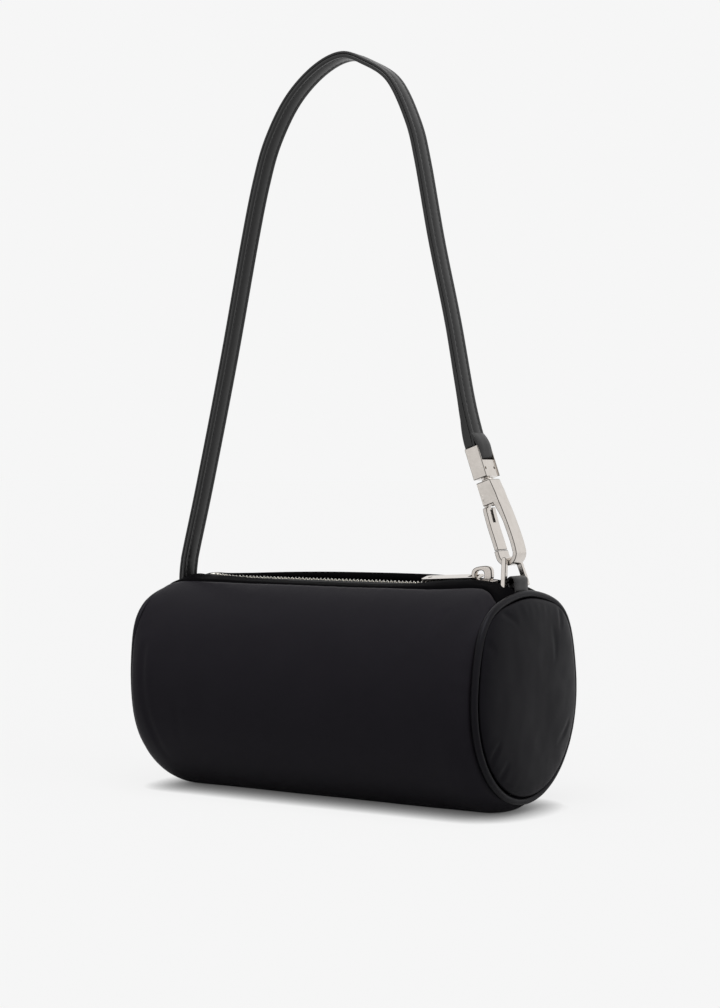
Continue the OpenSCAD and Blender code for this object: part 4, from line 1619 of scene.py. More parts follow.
@dataclass
class ZipBand:
    """The padded facings, the closed ends of the band and the tapes with their metal teeth."""

    barrel: Barrel = field(default_factory=Barrel)
    half_opening: float = 93.0
    tape_z: float = 116.45
    tape_t: float = 0.6
    tape_in: float = 2.65
    tape_out: float = 12.65
    part_y: float = 1.25
    part_from: float = 81.4
    part_to: float = 86.4
    fold_in: float = 6.15
    seam_dip: float = 1.5
    lane_z: float = 117.9
    chain_start: float = -90.2
    chain_end: float = 90.2
    pitch: float = 2.4
    # A tooth's sizes along, across and up
    tooth: Triple = (0.85, 3.0, 3.0)
    mesh: float = 1.0
    head_share: float = 0.3
    back_share: float = 0.35
    tooth_lean: float = 0.5
    chain_tilt: float = 0.13
    chain_rise: Knots = ((-90.5, 1.3), (-86, 1.0), (-80, 0.3), (-75, 0))
    front_fold: Knots = (
        (-97, 118.6), (-93, 117.6), (-87, 117.5), (-80, 118.2), (-72, 117.9), (-44, 116.8),
        (-25, 116.4), (26, 116.4), (44, 117.2), (62, 119.2), (74, 120.2), (93, 120.2),
    )
    back_fold: Knots = (
        (-93, 118.6), (-72, 119.3), (-42, 120.6), (-10, 121.4), (45, 121.6), (70, 120.8),
        (93, 119.8),
    )
    front_crown: Knots = (
        (-93, 0.1), (-40, -0.2), (30, -0.2), (70, 0.5), (93, 0.6),
    )
    back_crown: Knots = ((-93, 0.4), (-15, 0.5), (93, 0.4))
    top_steps: int = 17
    nose_steps: int = 11
    seam_tuck: float = 0.15
    # Where the facings start to close, and over what length
    closing: Pair = (84.0, 16.0)
    closed_z: float = 119.2
    facing_past: float = 0.6
    facing_girth: float = 34.0
    cover_past: float = 0.8
    cover_half: float = 9.5
    cover_fade: Pair = (99.0, 7.0)
    bead: float = 0.35
    tooth_edge: float = 0.2
    stop_edge: float = 0.4

    def facing(self, side: int) -> None:
        """Makes one padded facing: seam, crown, folded edge and the turn under it.

        Args:
            side: -1 for the front, 1 for the back.
        """
        fold_line = self.front_fold if side < 0 else self.back_fold
        crown_line = self.front_crown if side < 0 else self.back_crown
        top_steps, nose_steps, on_round = self.top_steps, self.nose_steps, self.barrel.on_round
        reach = self.barrel.end_x + self.facing_past
        rows = top_steps + nose_steps + 5

        def section(x: float, k: int) -> Pair:
            """Finds a point of the facing's section.

            Args:
                x: The section's place along the facing.
                k: The point's number, from the seam over the crown and under again.

            Returns:
                Its places across and up.
            """
            seam_y = self.barrel.seam_at(x) - self.seam_tuck
            end = held((abs(x) - self.closing[0]) / self.closing[1])
            end = end * end * (3 - 2 * end)
            drop = on_round(0, 10) - on_round(x, 10)
            fold_z = between(x, fold_line) * (1 - end) + self.closed_z * end - drop
            seam_z = on_round(x, seam_y) - self.seam_dip
            under_z = min(self.tape_z + self.tape_t / 2 + 0.1 - drop, fold_z - 1.0)
            nose_r = (fold_z - under_z) / 2
            fold_y = self.fold_in + nose_r
            if k <= top_steps:
                t = 1 - (1 - k / top_steps) ** 1.25
                y = seam_y + t * (fold_y - seam_y)
                ruck = ripple(x / 8.5, y / 9, side * 3.0)
                fine = ripple(x / 2.4, y / 3, side * 7.0)
                rise = between(x, crown_line) * math.sin(math.pi * t ** 0.7) * (1 - 0.7 * end)
                lift = self.seam_dip * (1 - hump(t, 0, 0.07)) * (1 - t)
                waves = (0.26 * ruck + 0.05 * fine) * math.sin(math.pi * min(1, t + 0.05))
                base = seam_z + (fold_z - seam_z) * t
                at_seam, at_fold = on_round(x, seam_y), on_round(x, fold_y)
                round_off = on_round(x, y) - at_seam - (at_fold - at_seam) * t
                return y, base + lift + rise + waves + round_off * 0.6
            k -= top_steps
            if k <= nose_steps:
                a = math.pi * k / nose_steps
                edge = 0.15 * ripple(x / 14, side * 2.0, 4)
                return (fold_y - nose_r * math.sin(a) + edge,
                        under_z + nose_r + nose_r * math.cos(a))
            k -= nose_steps
            y = fold_y + (self.tape_out - fold_y) * min(1.0, k / 2)
            if k == 3:
                return self.tape_out + 0.3, under_z - 0.8
            if k == 4:
                return seam_y - 0.3, seam_z - 1.6
            return (seam_y, seam_z - 0.4) if k > 4 else (y, under_z)

        def place(u: float, v: float) -> Vector:
            """Finds a point of the facing; its sections stand closer near its ends.

            Args:
                u: Share along it.
                v: Share round its section.

            Returns:
                The point.
            """
            near = abs(u - 0.5) * 2
            if near >= 0.8:
                near = 0.8 + 0.2 * math.sin(QUARTER * (near - 0.8) / 0.2)
            x = math.copysign(reach * near, u - 0.5)
            k = round(v * rows)
            y, z = section(x, 0 if k == rows else k)
            return Vector((x, side * y, z))

        bm = close_ends(woven_grid(place, 200, rows, (2 * reach, self.facing_girth)))
        word = face_word(side)
        soft_piece(f"facing_{word}", Slot.TRIM, Finish.TRIM, f"zip_facing_{word}", bm, 0.6)

    def closed_end(self, side: int) -> None:
        """Makes the cloth that closes the top between the facings past one end of the zip.

        Args:
            side: -1 for the left end, 1 for the right.
        """
        start = self.half_opening - 2.0
        reach = self.barrel.end_x + self.cover_past
        half = self.cover_half

        def place(u: float, v: float) -> Vector:
            """Finds a point of the cloth.

            Args:
                u: Share along the shoulder.
                v: Share across it.

            Returns:
                The point.
            """
            x = start + (reach - start) * u
            y = (v - 0.5) * 2 * half
            plain = self.barrel.on_round(x, y)
            lane = min(self.lane_z, plain - 0.5)
            fade = held((x - self.cover_fade[0]) / self.cover_fade[1])
            z = lane + (plain - 0.9 - lane) * fade
            ruck = ripple(x / 3.0, y / 3.6, side * 5.0)
            gather = hump(x, 103, 4.0) * math.sin(y * 1.25 + side)
            return Vector((side * x, y, z + 0.14 * ruck + 0.2 * gather))

        bm = woven_grid(place, 40, 34, (reach - start, 2 * half))
        solid = thicken(bm, Vector((side * 90, 0, self.barrel.axis_z)), self.barrel.fabric_t)
        word = end_word(side)
        soft_piece(f"band_end_{word}", Slot.TRIM, Finish.TRIM, f"zip_end_{word}", solid, 0.4)

    def aside(self, x: float) -> float:
        """How far the slider's wedge moves a row outward at a place."""
        return self.part_y * held((x - self.part_from) / (self.part_to - self.part_from))

    def tape(self, side: int) -> None:
        """Makes one zip tape with the corded edge that the teeth grip.

        Args:
            side: -1 for the front, 1 for the back.
        """
        word = face_word(side)
        reach = self.half_opening + self.pitch
        width = self.tape_out - self.tape_in

        def place(u: float, v: float) -> Vector:
            """Finds a point of the tape.

            Args:
                u: Share along it.
                v: Share across it, from its corded edge.

            Returns:
                The point.
            """
            x = (u - 0.5) * 2 * reach
            near = self.tape_in + self.aside(x)
            y = near + v * (self.tape_out - near)
            bead = self.bead * hump(v * width, 0.5, 0.5)
            droop = 0.0
            if side < 0:
                low = max(0.0, 118.2 - between(x, self.front_fold))
                droop = 0.75 * low * min(1.0, v * 2.4) ** 1.2
            tilt = side * min(y, 4.5) * self.chain_tilt
            tilt -= between(x, self.chain_rise) * (1 - min(1.0, v * 3))
            return Vector((x, side * y, self.tape_z + self.tape_t / 2 + bead * 0.4 - droop - tilt))

        bm = woven_grid(place, 150, 14, (2 * reach, width))
        solid = thicken(bm, Vector((0, side * 8, 0)), self.tape_t)
        made = soft_piece(f"tape_{word}", Slot.TAPE, Finish.TAPE, f"zip_tape_{word}", solid)

    def tooth_row(self, side: int) -> None:
        """Makes one row of teeth: a clamped root and a rounded head on each.

        Args:
            side: -1 for the front, 1 for the back.
        """
        word = face_word(side)
        wide, reach, high = self.tooth
        bm = bmesh.new()
        x = self.chain_start + (self.pitch / 2 if side > 0 else 0.0)
        while x < self.chain_end - wide:
            start = self.aside(x + wide) - self.mesh / 2
            spot = Vector((x + wide / 2, side * (start + reach / 2), self.tape_z))
            made = bmesh.ops.create_cube(bm, size=1.0)["verts"]
            bmesh.ops.scale(bm, vec=(wide, reach, high), verts=made)
            for vert in made:
                if side > 0:
                    vert.co.z *= self.back_share
                if vert.co.y * side < 0:
                    vert.co.z *= self.head_share
                vert.co.x += vert.co.z * self.tooth_lean
            edges = list({e for vert in made for e in vert.link_edges})
            out = bmesh.ops.bevel(bm, geom=edges, offset=self.tooth_edge, segments=1,
                                  profile=0.5, affect="EDGES", material=-1)["verts"]
            bmesh.ops.translate(bm, vec=spot, verts=out)
            x += self.pitch
        for vert in bm.verts:
            vert.co.z += between(vert.co.x, self.chain_rise) - vert.co.y * self.chain_tilt
        outward(bm)
        self.metal(f"teeth_{word}", f"zip_teeth_{word}", bm)

    def metal(self, name: str, node: str, bm: BMesh) -> None:
        """Publishes teeth or stops.

        Args:
            name: The piece's name.
            node: The CAD node that it replaces.
            bm: Its mesh, which is freed.
        """
        finishes = (Finish.TEETH,)
        Piece(name, Body.BAG, Slot.NICKEL, finishes, (node,), TEETH_DEG).publish(bm)

    def build(self) -> None:
        """Makes every soft and metal piece of the zip but its slider."""
        for side in (-1, 1):
            self.facing(side)
            self.closed_end(side)
            self.tape(side)
            self.tooth_row(side)
        for node, name in (("zip_top_stops", "top_stops"), ("zip_bottom_stop", "bottom_stop")):
            bm = refined(node)
            bevel_sharp(bm, self.stop_edge, 3)
            for vert in bm.verts:
                vert.co.z += between(vert.co.x, self.chain_rise)
            self.metal(name, node, bm)


@dataclass
class ZipSlider:
    """The slider with its thick arched bridge, and the pull."""

    start_x: float = 77.2
    end_x: float = 90.2
    half_width: float = 5.0
    # Lower and upper faces of the two plates
    low: Pair = (113.7, 114.9)
    high: Pair = (118.0, 119.2)
    # The flanges' inner side, and the heights that the slit between them runs at
    lip: Triple = (4.0, 115.85, 117.05)
    # The wedge's two ends and its half width
    wedge: Triple = (86.4, 89.9, 0.6)
    bridge_middle: Pair = (83.9, 122.2)
    bridge_half: Pair = (6.1, 4.5)
    window_middle: Pair = (82.75, 122.2)
    window_half: Pair = (2.7, 2.45)
    bridge_width: float = 3.0
    bridge_edge: float = 0.45
    bridge_slope: float = 0.08
    rail_edge: float = 0.15
    edge: float = 0.28
    tilt_deg: float = 3.4

    def shield(self, z: Pair) -> BMesh:
        """Makes one of the slider's two plates.

        Args:
            z: Its lower and upper faces.

        Returns:
            The plate.
        """
        half, length = self.half_width, self.end_x - self.start_x
        side = [(0.0, 0.80), (0.10, 0.92), (0.45, 0.94), (0.62, 1.0), (0.93, 1.0), (1.0, 0.86)]
        outline = [(self.start_x + u * length, w * half) for u, w in side]
        outline += [(x, -y) for x, y in outline[::-1]]
        bm = plate(outline, z[1] - z[0])
        bmesh.ops.transform(bm, matrix=Matrix.Rotation(-QUARTER, 4, "X"), verts=bm.verts)
        bmesh.ops.translate(bm, vec=(0, 0, sum(z) / 2), verts=bm.verts)
        outward(bm)
        bevel_sharp(bm, self.edge, 3, finish=1)
        return bm

    def rails(self) -> BMesh:
        """Makes the flanges between the two plates and the wedge that parts the teeth.

        Returns:
            The mesh.
        """
        rails = bmesh.new()
        lip_y, lip_low, lip_high = self.lip
        for y0, y1 in ((-self.half_width + 0.1, -lip_y), (lip_y, self.half_width - 0.1)):
            add_box(rails, (self.start_x + 0.8, y0, self.low[1] - 0.2),
                    (self.end_x - 0.6, y1, lip_low))
            add_box(rails, (self.start_x + 0.8, y0, lip_high),
                    (self.end_x - 0.6, y1, self.high[0] + 0.2))
        add_box(rails, (self.wedge[0], -self.wedge[2], self.low[0] + 0.2),
                (self.wedge[1], self.wedge[2], self.high[1] - 0.2))
        bevel_sharp(rails, self.rail_edge, 2)
        return rails

    def bridge(self) -> BMesh:
        """Makes the arched bridge that the pull hangs on.

        Returns:
            The mesh.
        """
        bridge = plate(rounded_square(self.bridge_middle, self.bridge_half, 3.0),
                       self.bridge_width,
                       rounded_square(self.window_middle, self.window_half, 2.5))
        bevel_sharp(bridge, self.bridge_edge, 3, finish=1)
        for vert in bridge.verts:
            vert.co.z += self.bridge_slope * (vert.co.x - self.bridge_middle[0])
        return bridge

    def build(self) -> None:
        """Makes the slider and the pull."""
        shields = [self.shield(self.low), self.shield(self.high)]
        whole = joined([*shields, self.rails(), self.bridge()])
        hinge = (self.start_x, self.lip[1])
        tilt = leaned(hinge, self.tilt_deg) @ leaned(hinge, 0.0).inverted()
        bmesh.ops.transform(whole, matrix=tilt, verts=whole.verts)
        metal_piece("slider_body", Body.SLIDER, "zip_slider", whole, Finish.ROSE_NICKEL)
        pull = refined("zip_pull")
        bevel_sharp(pull, self.edge, 3, finish=1)
        metal_piece("pull_plate", Body.PULL, "zip_pull", pull)


# ---- Hardware ----


@dataclass
class SnapHook:
    """The ring, the snap hook with its gate, spring, pin and swivel, and the yoke."""

    origin: Pair = (101.826, 128.056)
    lean_deg: float = 19.4
    pin: Pair = (-2.3, 36.1)
    pin_r: float = 0.8
    wire_r: float = 0.3
    coil_y: Pair = (0.95, 2.75)
    coil_turns: int = 4
    coil_steps: int = 20
    coil_gap: float = 0.12
    leg_l: float = 8.3
    leg_y: float = 0.3
    ring_low: tuple[Triple, ...] = ((101.0, -9.0, 119.0), (103.6, 9.0, 120.7))
    ring_high: tuple[Triple, ...] = ((100.5, -7.1, 131.0), (100.4, 7.1, 131.5))
    ring_r: float = 1.3
    ring_tip: float = 3.9
    cheek_edge: float = 0.3
    spine_bow: Knots = (
        (0, 0), (3, 0.1), (6, 0.35), (10.5, 1.0), (15.3, 1.3), (20, 1.5), (25, 1.55), (31, 1.45),
        (38.7, 1.0), (44.7, 0.1), (46, 0),
    )
    gate_bow: Knots = (
        (9.6, 0.1), (15, -0.3), (20.7, -0.8), (26.8, -1.1), (32.6, -1.0), (34.4, 0),
    )
    spine_from: float = 1.8
    gate_from: float = -9.0
    bow_cuts: int = 14
    bow_over: float = 0.8
    # The slot's heights, and its two sides in the CAD solid and as they are wanted
    slot_u: Pair = (24.8, 32.6)
    slot_was: Pair = (1.0, 2.9)
    slot_now: Pair = (-0.95, 1.5)
    pin_share: float = 0.9
    yoke_low: float = 47.8
    yoke_high: float = 64.8
    foot_h: float = 9.0
    plate_y: Pair = (6.4, 7.3)
    plate_half: float = 4.0
    plate_edge: float = 0.26
    foot_face: float = 3.45
    foot_t: float = 1.8
    # Each screw seat's place across, its height and its radius
    screw: Triple = (4.48, 52.3, 0.75)

    def to_world(self) -> Matrix:
        """The hook's own frame in the model's frame."""
        return leaned(self.origin, self.lean_deg)

    def spring(self) -> None:
        """Makes the torsion spring: a coil round the gate pin and one leg in the gate's slot."""
        bm = bmesh.new()
        radius = self.pin_r + self.coil_gap + self.wire_r
        steps = self.coil_steps * self.coil_turns
        rise = (self.coil_y[1] - self.coil_y[0]) / steps
        start = Vector((self.pin[0] - radius, self.coil_y[0], self.pin[1]))
        ring = bmesh.ops.create_circle(bm, segments=8, radius=self.wire_r)["verts"]
        bmesh.ops.translate(bm, vec=start, verts=ring)
        geom = ring + list({e for v in ring for e in v.link_edges})
        bmesh.ops.spin(bm, geom=geom, cent=Vector((self.pin[0], 0, self.pin[1])),
                       axis=(0, 1, 0), dvec=(0, rise, 0), angle=TURN * self.coil_turns,
                       steps=steps, use_merge=False)
        leg = bmesh.ops.create_cone(bm, segments=8, radius1=self.wire_r, radius2=self.wire_r,
                                    depth=self.leg_l, cap_ends=True)["verts"]
        bmesh.ops.translate(bm, verts=leg, vec=(
            self.pin[0] - radius - 0.7, self.leg_y, self.pin[1] - self.leg_l / 2 - 0.9))
        close_ends(bm)
        bmesh.ops.transform(bm, matrix=self.to_world(), verts=bm.verts)
        Piece("gate_coil", Body.HOOK, Slot.NICKEL, (Finish.NICKEL,), ("gate_spring",),
              ROUND_DEG).publish(bm)

    def bowed(self, bm: BMesh, knots: Sequence[Pair], from_v: float) -> None:
        """Bows one long side of a part of the hook.

        Args:
            bm: The part, in the model's frame.
            knots: How far the side moves, at heights in the hook's own frame.
            from_v: The side starts this far from the hook's middle line.
        """
        spin = self.to_world()
        bmesh.ops.transform(bm, matrix=spin.inverted(), verts=bm.verts)
        low, high = knots[0][0], knots[-1][0]
        for k in range(1, self.bow_cuts):
            geom = bm.verts[:] + bm.edges[:] + bm.faces[:]
            spot = (0, 0, low + (high - low) * k / self.bow_cuts)
            bmesh.ops.bisect_plane(bm, geom=geom, dist=0.001, plane_co=spot, plane_no=(0, 0, 1))
        bmesh.ops.remove_doubles(bm, verts=bm.verts, dist=0.1)
        for vert in bm.verts:
            share = held((vert.co.x - from_v) / self.bow_over)
            vert.co.x += between(vert.co.z, knots) * share
        bmesh.ops.transform(bm, matrix=spin, verts=bm.verts)

    def open_slot(self, bm: BMesh) -> None:
        """Widens the spring's slot in the gate and paints its walls with the dark nickel as
        painted shade.

        Args:
            bm: The gate, in the model's frame.
        """
        back = self.to_world().inverted()
        low_u, high_u = self.slot_u
        for vert in bm.verts:
            if low_u - 0.1 < (back @ vert.co).z < high_u + 0.1:
                for was, now in zip(self.slot_was, self.slot_now):
                    if abs(vert.co.y - was) < 0.05:
                        vert.co.y = now
        # The slot's walls take the dark nickel: painted shade in the recess
        for face in bm.faces:
            middle = back @ face.calc_center_median()
            inside = self.slot_now[0] - 0.1 < middle.y < self.slot_now[1] + 0.1
            if inside and low_u - 0.1 < middle.z < high_u and abs(face.normal.y) < 0.99:
                face.material_index = int(face.calc_area() < 40)
            elif inside and low_u < middle.z < high_u:
                face.material_index = 1

    def ring(self) -> None:
        """Makes the ring: two round bars and two flat cheeks with pointed lower ends."""
        r = self.ring_r
        bars = bmesh.new()
        add_rod(bars, Vector(self.ring_low[0]), Vector(self.ring_low[1]), r)
        add_rod(bars, Vector(self.ring_high[0]), Vector(self.ring_high[1]), r)
        parts = [bars]
        for low, high in zip(self.ring_low, self.ring_high):
            up = Vector(high) - Vector(low)
            top = up.length
            arc = [(r * math.cos(a), top + r * math.sin(a))
                   for a in (math.pi * k / 8 for k in range(9))]
            outline = [(r, -1.2), *arc, (-r, -1.0), (r * 0.75, -self.ring_tip)]
            cheek = plate(outline, 2 * r)
            bevel_sharp(cheek, self.cheek_edge, 3, finish=1)
            up.normalize()
            side = (Vector((0, 1, 0)) - up * up.y).normalized()
            turn = Matrix((side.cross(up), side, up)).transposed().to_4x4()
            bmesh.ops.transform(cheek, matrix=Matrix.Translation(Vector(low)) @ turn,
                                verts=cheek.verts)
            parts.append(cheek)
        metal_piece("ring_link", Body.RING, "ring", joined(parts))

    def yoke(self) -> None:
        """Makes the yoke: two side plates and the foot set back between them."""
        foot_z = self.yoke_low + self.foot_h
        high = self.yoke_high
        half = self.plate_half
        boxes = []
        for side in (-1, 1):
            bm = bmesh.new()
            near, far = sorted((side * self.plate_y[0], side * self.plate_y[1]))
            add_box(bm, (-half, near, self.yoke_low), (half, far, high))
            bevel_sharp(bm, self.plate_edge, 3, finish=1)
            boxes.append(bm)
        hole_y, hole_z, hole_r = self.screw
        middle_z = (self.yoke_low + foot_z) / 2
        inner = self.plate_y[0] + 0.02
        holes = [(y, hole_z - middle_z, hole_r) for y in (-hole_y, hole_y)]
        face = drilled((inner, self.foot_h / 2), holes, self.foot_t)
        spot = (self.foot_face - self.foot_t / 2, 0, middle_z)
        bmesh.ops.translate(face, vec=spot, verts=face.verts)
        block = bmesh.new()
        add_box(block, (0.3 - half, -inner, self.yoke_low), (self.foot_face - 1.7, inner, foot_z))
        whole = joined([*boxes, face, block])
        bmesh.ops.transform(whole, matrix=self.to_world(), verts=whole.verts)
        metal_piece("yoke_fork", Body.YOKE, "yoke", whole)

    def build(self) -> None:
        """Makes the ring, hook, gate, pins, post and yoke."""
        rounded = (
            ("hook_frame", "hook_body", Body.HOOK, 0.32, 3),
            ("gate_plate", "gate", Body.GATE, 0.28, 3),
            ("gate_axle", "gate_pin", Body.HOOK, 0.15, 2),
            ("swivel_rivet", "swivel_post", Body.HOOK, 0.25, 3),
            ("yoke_axle", "yoke_pin", Body.YOKE, 0.2, 2),
        )
        for name, node, body, edge, faces in rounded:
            bm = refined(node)
            if node == "hook_body":
                self.bowed(bm, self.spine_bow, self.spine_from)
            if node == "gate":
                self.open_slot(bm)
                self.bowed(bm, self.gate_bow, self.gate_from)
            if node == "yoke_pin":
                bmesh.ops.scale(bm, vec=(1, self.pin_share, 1), verts=bm.verts)
            bevel_sharp(bm, edge, faces, finish=1, shortest=0.22)
            metal_piece(name, body, node, bm)
        self.ring()
        self.spring()
        self.yoke()


# ---- Leather ----


@dataclass
class RingTab:
    """The leather tab: one strip folded round the ring's lower bar, both ends sewn in the seam."""

    bar: Pair = (103.95, 119.95)
    inner_leg: Knots = ((105.0, 112.6), (103.6, 114.9), (102.2, 117.6))
    outer_leg: Knots = (
        (106.0, 118.0), (106.15, 115.8), (106.1, 112.8),
    )
    loop_r: float = 1.5
    thickness: float = 1.2
    half_width: float = 6.9
    edge_r: float = 0.5

    def build(self) -> None:
        """Makes the folded strip."""
        mid_r = self.loop_r + self.thickness / 2
        bar = Vector((self.bar[0], 0, self.bar[1]))
        path = upright(self.inner_leg)
        for k in range(10):
            a = math.radians(205 - 22.5 * k)
            path.append(bar + mid_r * Vector((math.cos(a), 0, math.sin(a))))
        line = spline(path + upright(self.outer_leg), 4)
        half = self.thickness / 2
        band = Band(line, self.half_width, -half, half, self.edge_r)
        band.publish("ring_strip", Body.BAG, ("ring_tab",))


@dataclass
class Strap:
    """The two-leather strap with its stitching, sewn base and folded end loop."""

    base: Pair = (-113.011, 112.1)
    crown_share: float = 0.574
    top_z: float = 404.2
    pin: Pair = (81.796, 184.932)
    end_lean_deg: float = 12.9
    end_rise: float = 9.2
    half_width: float = 6.35
    thickness: float = 2.6
    face_high: float = 1.5
    back_low: float = -2.1
    foot: Knots = ((-111.2, 112.1), (-111.1, 118.0), (-110.2, 125.3),
                                             (-108.5, 133.0))
    lap: Knots = ((194, 2.4), (205, 1.5), (216, 0.6), (230, 0.3),
                                            (250, 0))
    sway_z: float = 133.504
    stitch_y: float = 3.75
    stitch_pitch: float = 3.0
    stitch_start: float = 2.4
    stitch_r: float = 0.26
    stitch_sink: float = 0.16
    back_stitches_z: float = 218.0
    groove: float = 0.26
    edge_r: float = 0.6
    inner_gap: float = 0.02
    # How far a bend would reach under and over the height that the strap sways about; no bend is
    # made
    bend_z: Pair = (-15.0, 3.0)
    face_tail: float = 4.2
    left_leg: Knots = (
        (0.132, 0.204), (0.282, 0.439), (0.417, 0.67), (0.492, 0.783),
        (0.564, 0.858), (0.684, 0.93), (0.842, 0.98),
    )
    right_leg: Knots = (
        (0.18, 0.024), (0.381, 0.078), (0.526, 0.186), (0.6, 0.289),
        (0.705, 0.494), (0.826, 0.699), (0.93, 0.9),
    )
    loop_start: Knots = (
        (0.3, 11.8), (2.1, 8.6), (3.1, 5.4), (3.3, 2.4),
    )
    loop_end: Knots = (
        (-3.5, 3.6), (-3.95, 8.0), (-3.9, 13.5), (-3.25, 20.0), (-1.7, 27.5),
    )
    loop_r: Pair = (2.35, 1.33)
    loop_half: float = 0.95

    def line(self) -> list[Vector]:
        """Draws the strap's middle line.

        Returns:
            Its points, from the sewn base to the end over the yoke.
        """
        lean = math.radians(self.end_lean_deg)
        base = Vector((self.base[0], 0, self.base[1]))
        end = Vector((self.pin[0] - self.end_rise * math.sin(lean), 0,
                      self.pin[1] + self.end_rise * math.cos(lean)))
        crown = Vector((base.x + self.crown_share * (end.x - base.x), 0,
                        self.top_z - self.thickness / 2))
        rise, drop = crown - base, end - crown
        points = upright(self.foot)
        points += [base + Vector((s * rise.x, 0, t * rise.z)) for s, t in self.left_leg]
        points.append(crown)
        points += [crown + Vector((s * drop.x, 0, t * drop.z)) for s, t in self.right_leg]
        points.append(end)
        return spline(points, 14)

    def stitches(self, line: list[Vector], depth: float, name: str) -> bpy.types.Object:
        """Makes both stitch rows of one face.

        Args:
            line: The middle line under them.
            depth: How far the face is from that line.
            name: The piece's name.

        Returns:
            The piece.
        """
        bm = bmesh.new()
        walked, due = 0.0, self.stitch_start
        size = (self.stitch_r, self.stitch_r, self.stitch_pitch * 0.42)
        for a, b in zip(line, line[1:]):
            step = (b - a).length
            while walked + step >= due:
                point = a.lerp(b, (due - walked) / step)
                way = (b - a).normalized()
                out = Vector((-way.z, 0, way.x))
                for y in (-self.stitch_y, self.stitch_y):
                    made = bmesh.ops.create_uvsphere(bm, u_segments=6, v_segments=4,
                                                     radius=1.0)["verts"]
                    bmesh.ops.scale(bm, vec=size, verts=made)
                    turn = Matrix((out, Vector((0, 1, 0)), way)).transposed().to_4x4()
                    spot = point + out * depth + Vector((0, y, 0))
                    bmesh.ops.transform(bm, matrix=Matrix.Translation(spot) @ turn, verts=made)
                due += self.stitch_pitch
            walked += step
        outward(bm)
        piece = Piece(name, Body.STRAP, Slot.LEATHER, (Finish.THREAD,), (), ROUND_DEG)
        return piece.publish(bm, rides=False)

    def bend(self, piece: bpy.types.Object) -> None:
        """Bakes a strap piece's placement into its mesh; the span over its sewn base where it
        would bend is worked out but not used, so nothing bends.

        Args:
            piece: The piece.
        """
        start, end = (Vector((self.base[0], 0, self.sway_z + z)) * MM for z in self.bend_z)
        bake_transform(piece)

    def bulk(self, point: Vector) -> float:
        """How much thicker the strap's back is where the end laps up inside it."""
        return between(point.z, self.lap) if point.x > 0 else 0.0

    def leathers(self) -> None:
        """Makes the strap's two leathers and their stitches, from the base to the end."""
        line = self.line()
        lean = math.radians(self.end_lean_deg)
        below = line[-1] + Vector((math.sin(lean), 0, -math.cos(lean))) * self.face_tail
        for name, nodes, low, high in (
            ("strap_face", ("strap_outer",), self.inner_gap, self.face_high),
            ("strap_back", ("strap_inner", "strap_base"), self.back_low, -self.inner_gap),
        ):
            band = Band([*line, below], self.half_width, low, high, self.edge_r, self.stitch_y,
                        self.groove, self.bulk)
            self.bend(band.publish(name, Body.STRAP, nodes, rides=False))
        upper = [point for point in line if point.x < 0 or point.z > self.back_stitches_z]
        for name, under, depth in (
            ("strap_stitches_face", line, self.face_high - self.stitch_sink),
            ("strap_stitches_back", upper, self.back_low + self.stitch_sink),
        ):
            self.bend(self.stitches(under, depth, name))

    def end_loop(self) -> None:
        """Makes the leather that folds round the yoke's pin and laps up the strap."""
        place = leaned(self.pin, self.end_lean_deg)
        mid_r, wide = self.loop_r
        path = upright(self.loop_start)
        for k in range(10):
            a = math.radians(-20 * k)
            path.append(mid_r * Vector((wide * math.cos(a), 0, math.sin(a))))
        line = [place @ p for p in spline(path + upright(self.loop_end), 4)]
        band = Band(line, self.half_width, -self.loop_half, self.loop_half, self.edge_r)
        band.publish("strap_fold", Body.STRAP, ("strap_end_loop",))

    def build(self) -> None:
        """Makes every leather piece of the strap."""
        self.leathers()
        self.end_loop()


# ---- The studio ----


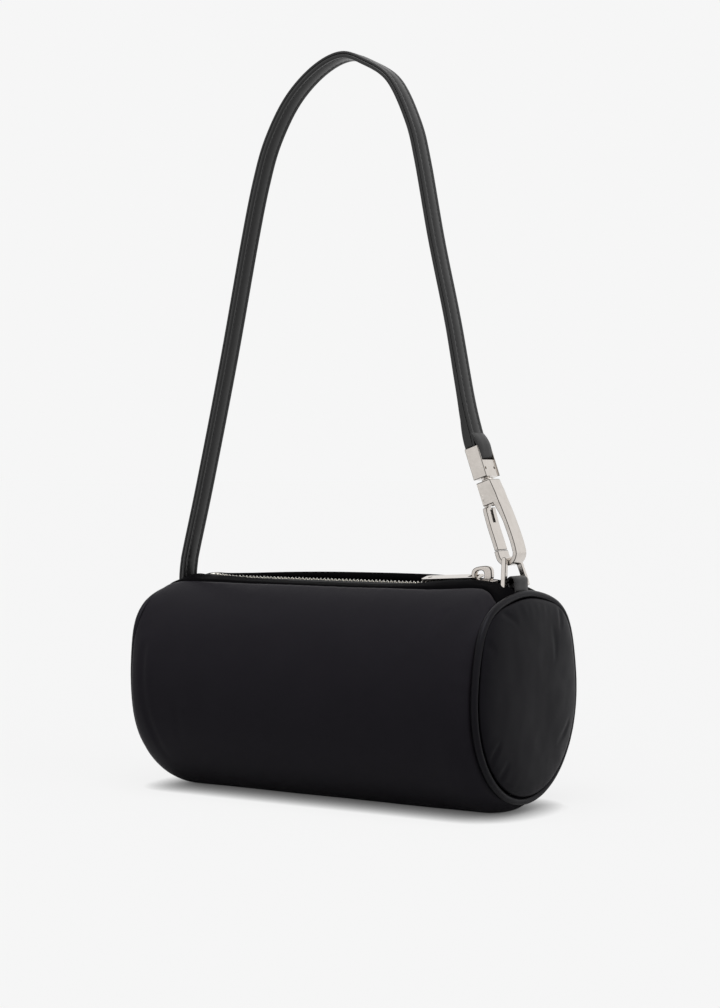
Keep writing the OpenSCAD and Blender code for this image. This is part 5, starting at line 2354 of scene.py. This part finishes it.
@dataclass
class Studio:
    """The pale floor, the soft lamps and the camera of the picture."""

    azimuth_deg: float = 32.9
    tilt_deg: float = 0.8
    aim: Triple = (7.0, 0.0, 159.0)
    distance: float = 1087.0
    focal_px: float = 2000.0
    frame_px: int = 1008
    sensor: float = 36.0
    ground: float = 0.922
    world_light: float = 0.42
    floor_half: float = 60.0
    # Each light's name, direction, spread in degrees and strength
    suns: tuple[tuple[str, Triple, float, float], ...] = (
        ("overhead_box", (0.1, -0.3, 1.0), 50, 2.0), ("right_box", (1.0, -0.1, 0.45), 50, 0.35),
    )

    def back(self) -> Vector:
        """The direction from the bag to the camera."""
        a, e = math.radians(self.azimuth_deg), math.radians(self.tilt_deg)
        return Vector((math.sin(a) * math.cos(e), -math.cos(a) * math.cos(e), math.sin(e)))

    def camera(self) -> None:
        """Sets the camera where the picture was taken from."""
        data = bpy.data.cameras.new("picture_camera")
        data.sensor_width = self.sensor
        data.lens = self.focal_px * self.sensor / self.frame_px
        data.clip_end = 200.0
        made = linked("picture_camera", data)
        made.location = (Vector(self.aim) + self.back() * self.distance) * MM
        made.rotation_mode = "QUATERNION"
        made.rotation_quaternion = (-self.back()).to_track_quat("-Z", "Y")
        bpy.context.scene.camera = made

    def floor(self) -> None:
        """Lays the floor."""
        bm = bmesh.new()
        bmesh.ops.create_grid(bm, x_segments=8, y_segments=8, size=self.floor_half)
        mesh = bpy.data.meshes.new("floor")
        bm.to_mesh(mesh)
        bm.free()
        mesh.materials.append(Finish.GROUND.material())
        linked("floor", mesh)

    def sun(self, name: str, way: Triple, spread_deg: float, strength: float) -> None:
        """Hangs one very soft far light.

        Args:
            name: The light's name.
            way: The direction that it comes from.
            spread_deg: How wide it is.
            strength: Its strength.
        """
        data = bpy.data.lights.new(name, "SUN")
        data.angle = math.radians(spread_deg)
        data.energy = strength
        made = linked(name, data)
        made.rotation_mode = "QUATERNION"
        made.rotation_quaternion = Vector(way).to_track_quat("Z", "Y")

    def world(self) -> None:
        """Lights the room plainly; the camera and mirrors see the picture's ground."""
        room = Recipe("studio", room=True)
        share = room.seen_by("Is Camera Ray", "Is Glossy Ray", "Is Transmission Ray")
        lit = room.make("ShaderNodeBackground", {}, {"Strength": self.world_light})
        plain = room.make("ShaderNodeBackground", {}, {"Color": (*(self.ground,) * 3, 1)})
        both = room.make("ShaderNodeMixShader", {}, {0: share, 1: lit, 2: plain})
        bpy.context.scene.world = room.close(both)

    def build(self) -> None:
        """Makes the whole studio."""
        bpy.context.scene.view_settings.view_transform = "Standard"
        self.camera()
        self.floor()
        self.world()
        for sun in self.suns:
            self.sun(*sun)


def main() -> None:
    """Builds every piece of the bag and the studio, in order."""
    logging.basicConfig(level=logging.INFO, format="%(message)s")
    Studio().build()
    Barrel().build()
    RoundEnd(-1, folds=(
        Fold((48, -52), (36, -60), 2.6, 0.7), Fold((49, 30), (38, 24), 2.4, 0.6),
        Fold((49, 128), (36, 122), 2.6, 0.7), Fold((48, -126), (38, -138), 2.4, 0.5),
    )).build()
    RoundEnd(1, folds=(
        Fold((55, 55), (47, 56), 1.8, 0.75), Fold((53, 34), (44, 26), 1.8, 0.55),
        Fold((52, 124), (42, 117), 1.8, 0.7), Fold((51, 138), (42, 136), 1.8, 0.5),
        Fold((53, -35), (43, -39), 2.0, 0.6), Fold((40, -113), (35, -134), 2.4, 0.5),
        Fold((38, -30), (27, -46), 3.0, 0.3),
    )).build()
    ZipBand().build()
    ZipSlider().build()
    RingTab().build()
    SnapHook().build()
    Strap().build()


if __name__ == "__main__":
    main()
